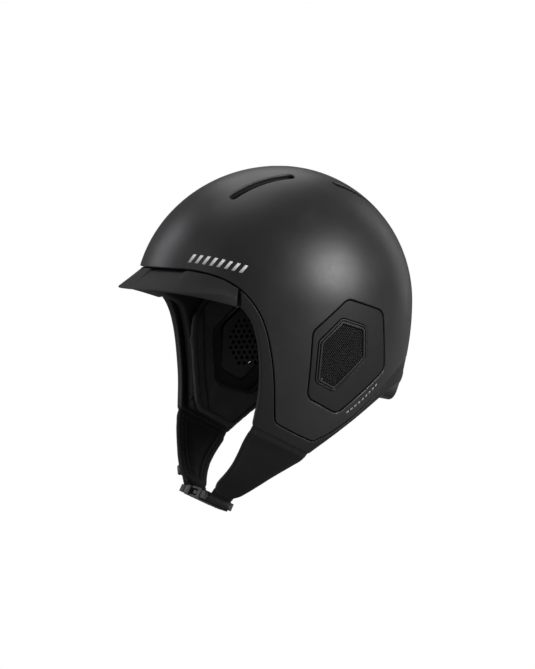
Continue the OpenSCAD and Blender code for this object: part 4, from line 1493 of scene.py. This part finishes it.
def inset_open(chain, s, depth):
    c = both(chain)
    k = c.mean(0)
    c = project(c)
    t, n, m = chain_frame(c, True, 1)
    if np.mean(np.einsum("ij,ij->i", m, k - c)) < 0:
        m = -m
    q = project(c + m * s)
    return q + grad(q) * depth


b = pad_piece("brow_cushion", brow_loop, "helmet", "brow_pad", mid=True, mirror="weld")
dress(b, [(inset_open(brow_loop, 3.0, -20.6), True)], "helmet")
r = pad_piece("rear_cushion", rear_loop, "helmet", "rear_pad", mid=True, mirror="weld")
dress(r, [(inset_open(rear_loop, 3.0, -20.6), True)], "helmet")
k = pad_piece("crown_cushion", crown_loop, "helmet", "crown_pad", mid=True, mirror="weld", notches=[centre_notch(3, 48, CS + 1.4)])
dress(k, [(inset_open(crown_loop, 3.0, -20.6), True)], "helmet")


# nape pad, in the dial's frame
def dial(x, y, z):
    return np.array([x, 27.5 + 0.939693 * y + 0.342020 * z, -34.8 - 0.342020 * y + 0.939693 * z])


def nape_pad():
    rings_ = []
    for a in np.linspace(-14.6, 14.6, 41):
        e = 1 - (abs(a) / 14.6) ** 8
        hz = 9.4 * (0.72 + 0.28 * e)
        prof = rounded_profile([(59.8, -hz), (59.8 - 0.6 * e, 0), (59.8, hz), (63.6, hz), (63.6, -hz)], 1.5, 5)
        dent = 1.3 * math.exp(-(a / 1.6) ** 2)
        ring_ = []
        for rr, z in prof:
            q = rr + (dent * 0.0 if rr > 62 else 0.0)
            dd = math.hypot(a * 61 * math.pi / 180, z)
            if rr < 61.5:
                q = rr + 1.2 * math.exp(-(dd / 2.6) ** 2)
            ring_.append(dial(q * math.sin(math.radians(a)), q * math.cos(math.radians(a)), z))
        rings_.append(ring_)
    v_, f_ = grid_solid(rings_)
    return fix_normals(new_mesh("nape_cushion", v_, f_, None, (M_PAD,)))


npd = nape_pad()
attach(npd, "helmet")
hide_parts("nape_pad")

# ------------------------------------------------------------------ CAD pieces that stay: finish and softened edges
N = frame["nodes"]
FINISH = {
    "peak_pegs": (M_MOULD, 0.3), "ear_pegs_left": (M_MOULD, 0.3), "ear_pegs_right": (M_MOULD, 0.3),
    "ear_vent_plate_left": (M_GRILLE, 0.2), "ear_vent_plate_right": (M_GRILLE, 0.2),
    "strap_webbing_left": (M_WEB, 0.35), "strap_webbing_right": (M_WEB, 0.35), "webbing_tail": (M_WEB, 0.35),
    "strap_anchor_rivets": (M_MOULD, 0.3), "strap_slider": (M_BUCKLE, 0.3), "buckle_socket": (M_BUCKLE, 0.55), "buckle_plug": (M_BUCKLE, 0.5),
    "buckle_prong_front": (M_BUCKLE, 0.35), "buckle_prong_rear": (M_BUCKLE, 0.35), "dial_housing": (M_MOULD, 0.35), "dial_knob": (M_EDGE, 0.25),
    "dial_shaft": (M_MOULD, 0.2), "dial_pinion": (M_BRASS, 0.04), "dial_screw": (M_STEEL, 0.15), "gear_case": (M_MOULD, 0.3),
    "gear_cover": (M_MOULD, 0.3), "gear_screws": (M_STEEL, 0.15), "fit_band_left": (M_MOULD, 0.12), "fit_band_right": (M_MOULD, 0.12)}
for nm, (m, wdt) in FINISH.items():
    o = N[nm]
    o.data.materials.clear()
    o.data.materials.append(m)
    bv = o.modifiers.new("edge", "BEVEL")
    bv.width = wdt * MM
    bv.segments = 2
    bv.limit_method = "ANGLE"
    bv.angle_limit = math.radians(32)
    bv.harden_normals = True
    bv.use_clamp_overlap = True

# ------------------------------------------------------------------ printed marks: plain bars and dashes
def decal(name, quads, mats, lift=0.03, thick=0.10, sub=6):
    """Thin raised bars on the shell. Each quad is four surface points, in order."""
    V, F = [], []
    for q in quads:
        a, b, c, d = [np.asarray(v, float) for v in q]
        k = len(V)
        g = []
        for i in range(sub + 1):
            u = i / sub
            for j in range(3):
                v = j / 2
                p = (1 - u) * (1 - v) * a + u * (1 - v) * b + u * v * c + (1 - u) * v * d
                g.append(p)
        g = project(np.array(g))
        nn = grad(g)
        top, bot = g + nn * (lift + thick), g - nn * 0.15
        V += list(top) + list(bot)
        n_ = len(g)
        for i in range(sub):
            for j in range(2):
                x0 = k + i * 3 + j
                F.append((x0, x0 + 3, x0 + 4, x0 + 1))
                F.append((x0 + n_, x0 + n_ + 1, x0 + n_ + 4, x0 + n_ + 3))
        edge_ids = [i * 3 for i in range(sub + 1)] + [sub * 3 + 1, sub * 3 + 2] + [i * 3 + 2 for i in range(sub - 1, -1, -1)] + [1]
        for i in range(len(edge_ids)):
            x0, x1 = k + edge_ids[i], k + edge_ids[(i + 1) % len(edge_ids)]
            F.append((x0, x1, x1 + n_, x0 + n_))
    return fix_normals(new_mesh(name, V, F, None, mats))


def along(p0, p1, mid_pull, n):
    return project(np.array([(1 - t) * np.array(p0) + t * np.array(p1) for t in np.linspace(0, 1, n)]))


def bars(p0, p1, count, width, height, slant, up):
    line = project(np.array([(1 - t) * np.array(p0) + t * np.array(p1) for t in np.linspace(0, 1, 200)]))
    s = np.concatenate([[0], np.cumsum(np.linalg.norm(np.diff(line, axis=0), axis=1))])

    def at(t):
        return np.array([np.interp(t, s, line[:, k]) for k in range(3)])
    out = []
    pitch = (s[-1] - width - abs(slant)) / max(1, count - 1)
    for i in range(count):
        t0 = i * pitch + abs(slant) / 2 * (1 if slant > 0 else 1)
        e = []
        for t, hgt in ((t0 - slant / 2, -height / 2), (t0 + width - slant / 2, -height / 2), (t0 + width + slant / 2, height / 2), (t0 + slant / 2, height / 2)):
            c = at(min(max(t, 0), s[-1]))
            nn = grad(c[None])[0]
            tt = at(min(c is not None and t + 0.5 or 0, s[-1])) - at(max(t - 0.5, 0))
            tt /= np.linalg.norm(tt)
            uu = np.cross(nn, tt)
            if uu[2] < 0:
                uu = -uu
            e.append(c + uu * hgt)
        out.append(e)
    return out


mark = decal("brow_bars", bars((44, -100, 40), (77.6, -64, 31), 8, 2.6, 7.2, 3.4, 1), (M_WHITE,))
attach(mark, "helmet")
dash = decal("side_dashes", bars((87.4, 21.6, -88), (82.1, 53.9, -65.9), 9, 2.6, 1.5, 0.6, 1), (M_GREY,), lift=0.0, sub=3)
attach(dash, "helmet")

# ------------------------------------------------------------------ camera, light, floor
AZ, EL, DIST = math.radians(63.1595), math.radians(3.2791), 1.8
cam_d = bpy.data.cameras.new("camera")
cam = bpy.data.objects.new("camera", cam_d)
bpy.context.scene.collection.objects.link(cam)
cam.location = (math.sin(AZ) * math.cos(EL) * DIST, -math.cos(AZ) * math.cos(EL) * DIST, math.sin(EL) * DIST)
cam.rotation_euler = (Vector((0, 0, 0)) - cam.location).to_track_quat("-Z", "Y").to_euler()
cam_d.lens = 36 * 1800 / (669 * 0.85245)
cam_d.shift_x = -(274.577 - 267.5) / 669
cam_d.shift_y = -(334.5 - 301.505) / 669
cam_d.clip_end = 50
bpy.context.scene.camera = cam


def area(name, loc, target, size, power, shape="RECTANGLE", size_y=None, color=(1, 1, 1)):
    l = bpy.data.lights.new(name, "AREA")
    l.shape = shape
    l.size = size
    l.size_y = size_y or size
    l.energy = power
    l.color = color
    o = bpy.data.objects.new(name, l)
    bpy.context.scene.collection.objects.link(o)
    o.location = loc
    o.rotation_euler = (Vector(target) - Vector(loc)).to_track_quat("-Z", "Y").to_euler()
    return o


area("key_softbox", (1.22, 0.76, 0.52), (0, 0, 0.02), 0.46, 19, size_y=0.48)
area("front_softbox", (0.5, -1.7, 0.9), (0, 0, 0.0), 0.8, 2.2, size_y=1.0)
area("rim_left", (-1.15, -1.25, 0.95), (0, 0, 0.0), 0.95, 9.0, size_y=1.1, color=(0.97, 0.96, 1.0))
area("opening_fill", (-0.55, -1.45, -0.25), (0.05, 0, -0.05), 0.35, 7.5, size_y=0.9)
area("rim_right", (-0.5, 1.6, 0.5), (0, 0, 0.0), 0.4, 2.2, size_y=1.3)
area("top_softbox", (-0.3, -0.2, 1.9), (0, 0, 0), 1.0, 5.0)
area("crown_softbox", (-1.0, 0.45, 1.55), (0, 0, 0.05), 1.1, 7.5, size_y=1.3)

bpy.context.scene.view_settings.view_transform = "Standard"
w = bpy.data.worlds.new("studio")
bpy.context.scene.world = w
w.use_nodes = True
nt = w.node_tree
bg = nt.nodes["Background"]
lp = nt.nodes.new("ShaderNodeLightPath")
mx = nt.nodes.new("ShaderNodeMix")
mx.data_type = "FLOAT"
nt.links.new(lp.outputs["Is Camera Ray"], mx.inputs["Factor"])
mx.inputs["A"].default_value = 0.13
mx.inputs["B"].default_value = 1.0
nt.links.new(mx.outputs["Result"], bg.inputs["Strength"])
bg.inputs["Color"].default_value = (1, 1, 1, 1)

fl = bpy.data.meshes.new("floor")
S = 6.0
fl.from_pydata([(-S, -S, -0.1765), (S, -S, -0.1765), (S, S, -0.1765), (-S, S, -0.1765)], [], [(0, 1, 2, 3)])
floor = bpy.data.objects.new("floor", fl)
bpy.context.scene.collection.objects.link(floor)
fm, fnt, fb = mat("floor_white", (0.3, 0.3, 0.3), 0.9, 0.1)
fb.inputs["Emission Color"].default_value = (1, 1, 1, 1)
fb.inputs["Emission Strength"].default_value = 0.05
flp = fnt.nodes.new("ShaderNodeLightPath")
fem = fnt.nodes.new("ShaderNodeEmission")
fem.inputs["Strength"].default_value = 1.0
fgeo = fnt.nodes.new("ShaderNodeNewGeometry")
ftr = fnt.nodes.new("ShaderNodeBsdfTransparent")
fm1, fm2 = fnt.nodes.new("ShaderNodeMixShader"), fnt.nodes.new("ShaderNodeMixShader")
fnt.links.new(flp.outputs["Is Camera Ray"], fm1.inputs[0])
fnt.links.new(fb.outputs[0], fm1.inputs[1])
fnt.links.new(fem.outputs[0], fm1.inputs[2])
fnt.links.new(fgeo.outputs["Backfacing"], fm2.inputs[0])
fnt.links.new(fm1.outputs[0], fm2.inputs[1])
fnt.links.new(ftr.outputs[0], fm2.inputs[2])
fnt.links.new(fm2.outputs[0], fnt.nodes["Material Output"].inputs["Surface"])
fl.materials.append(fm)
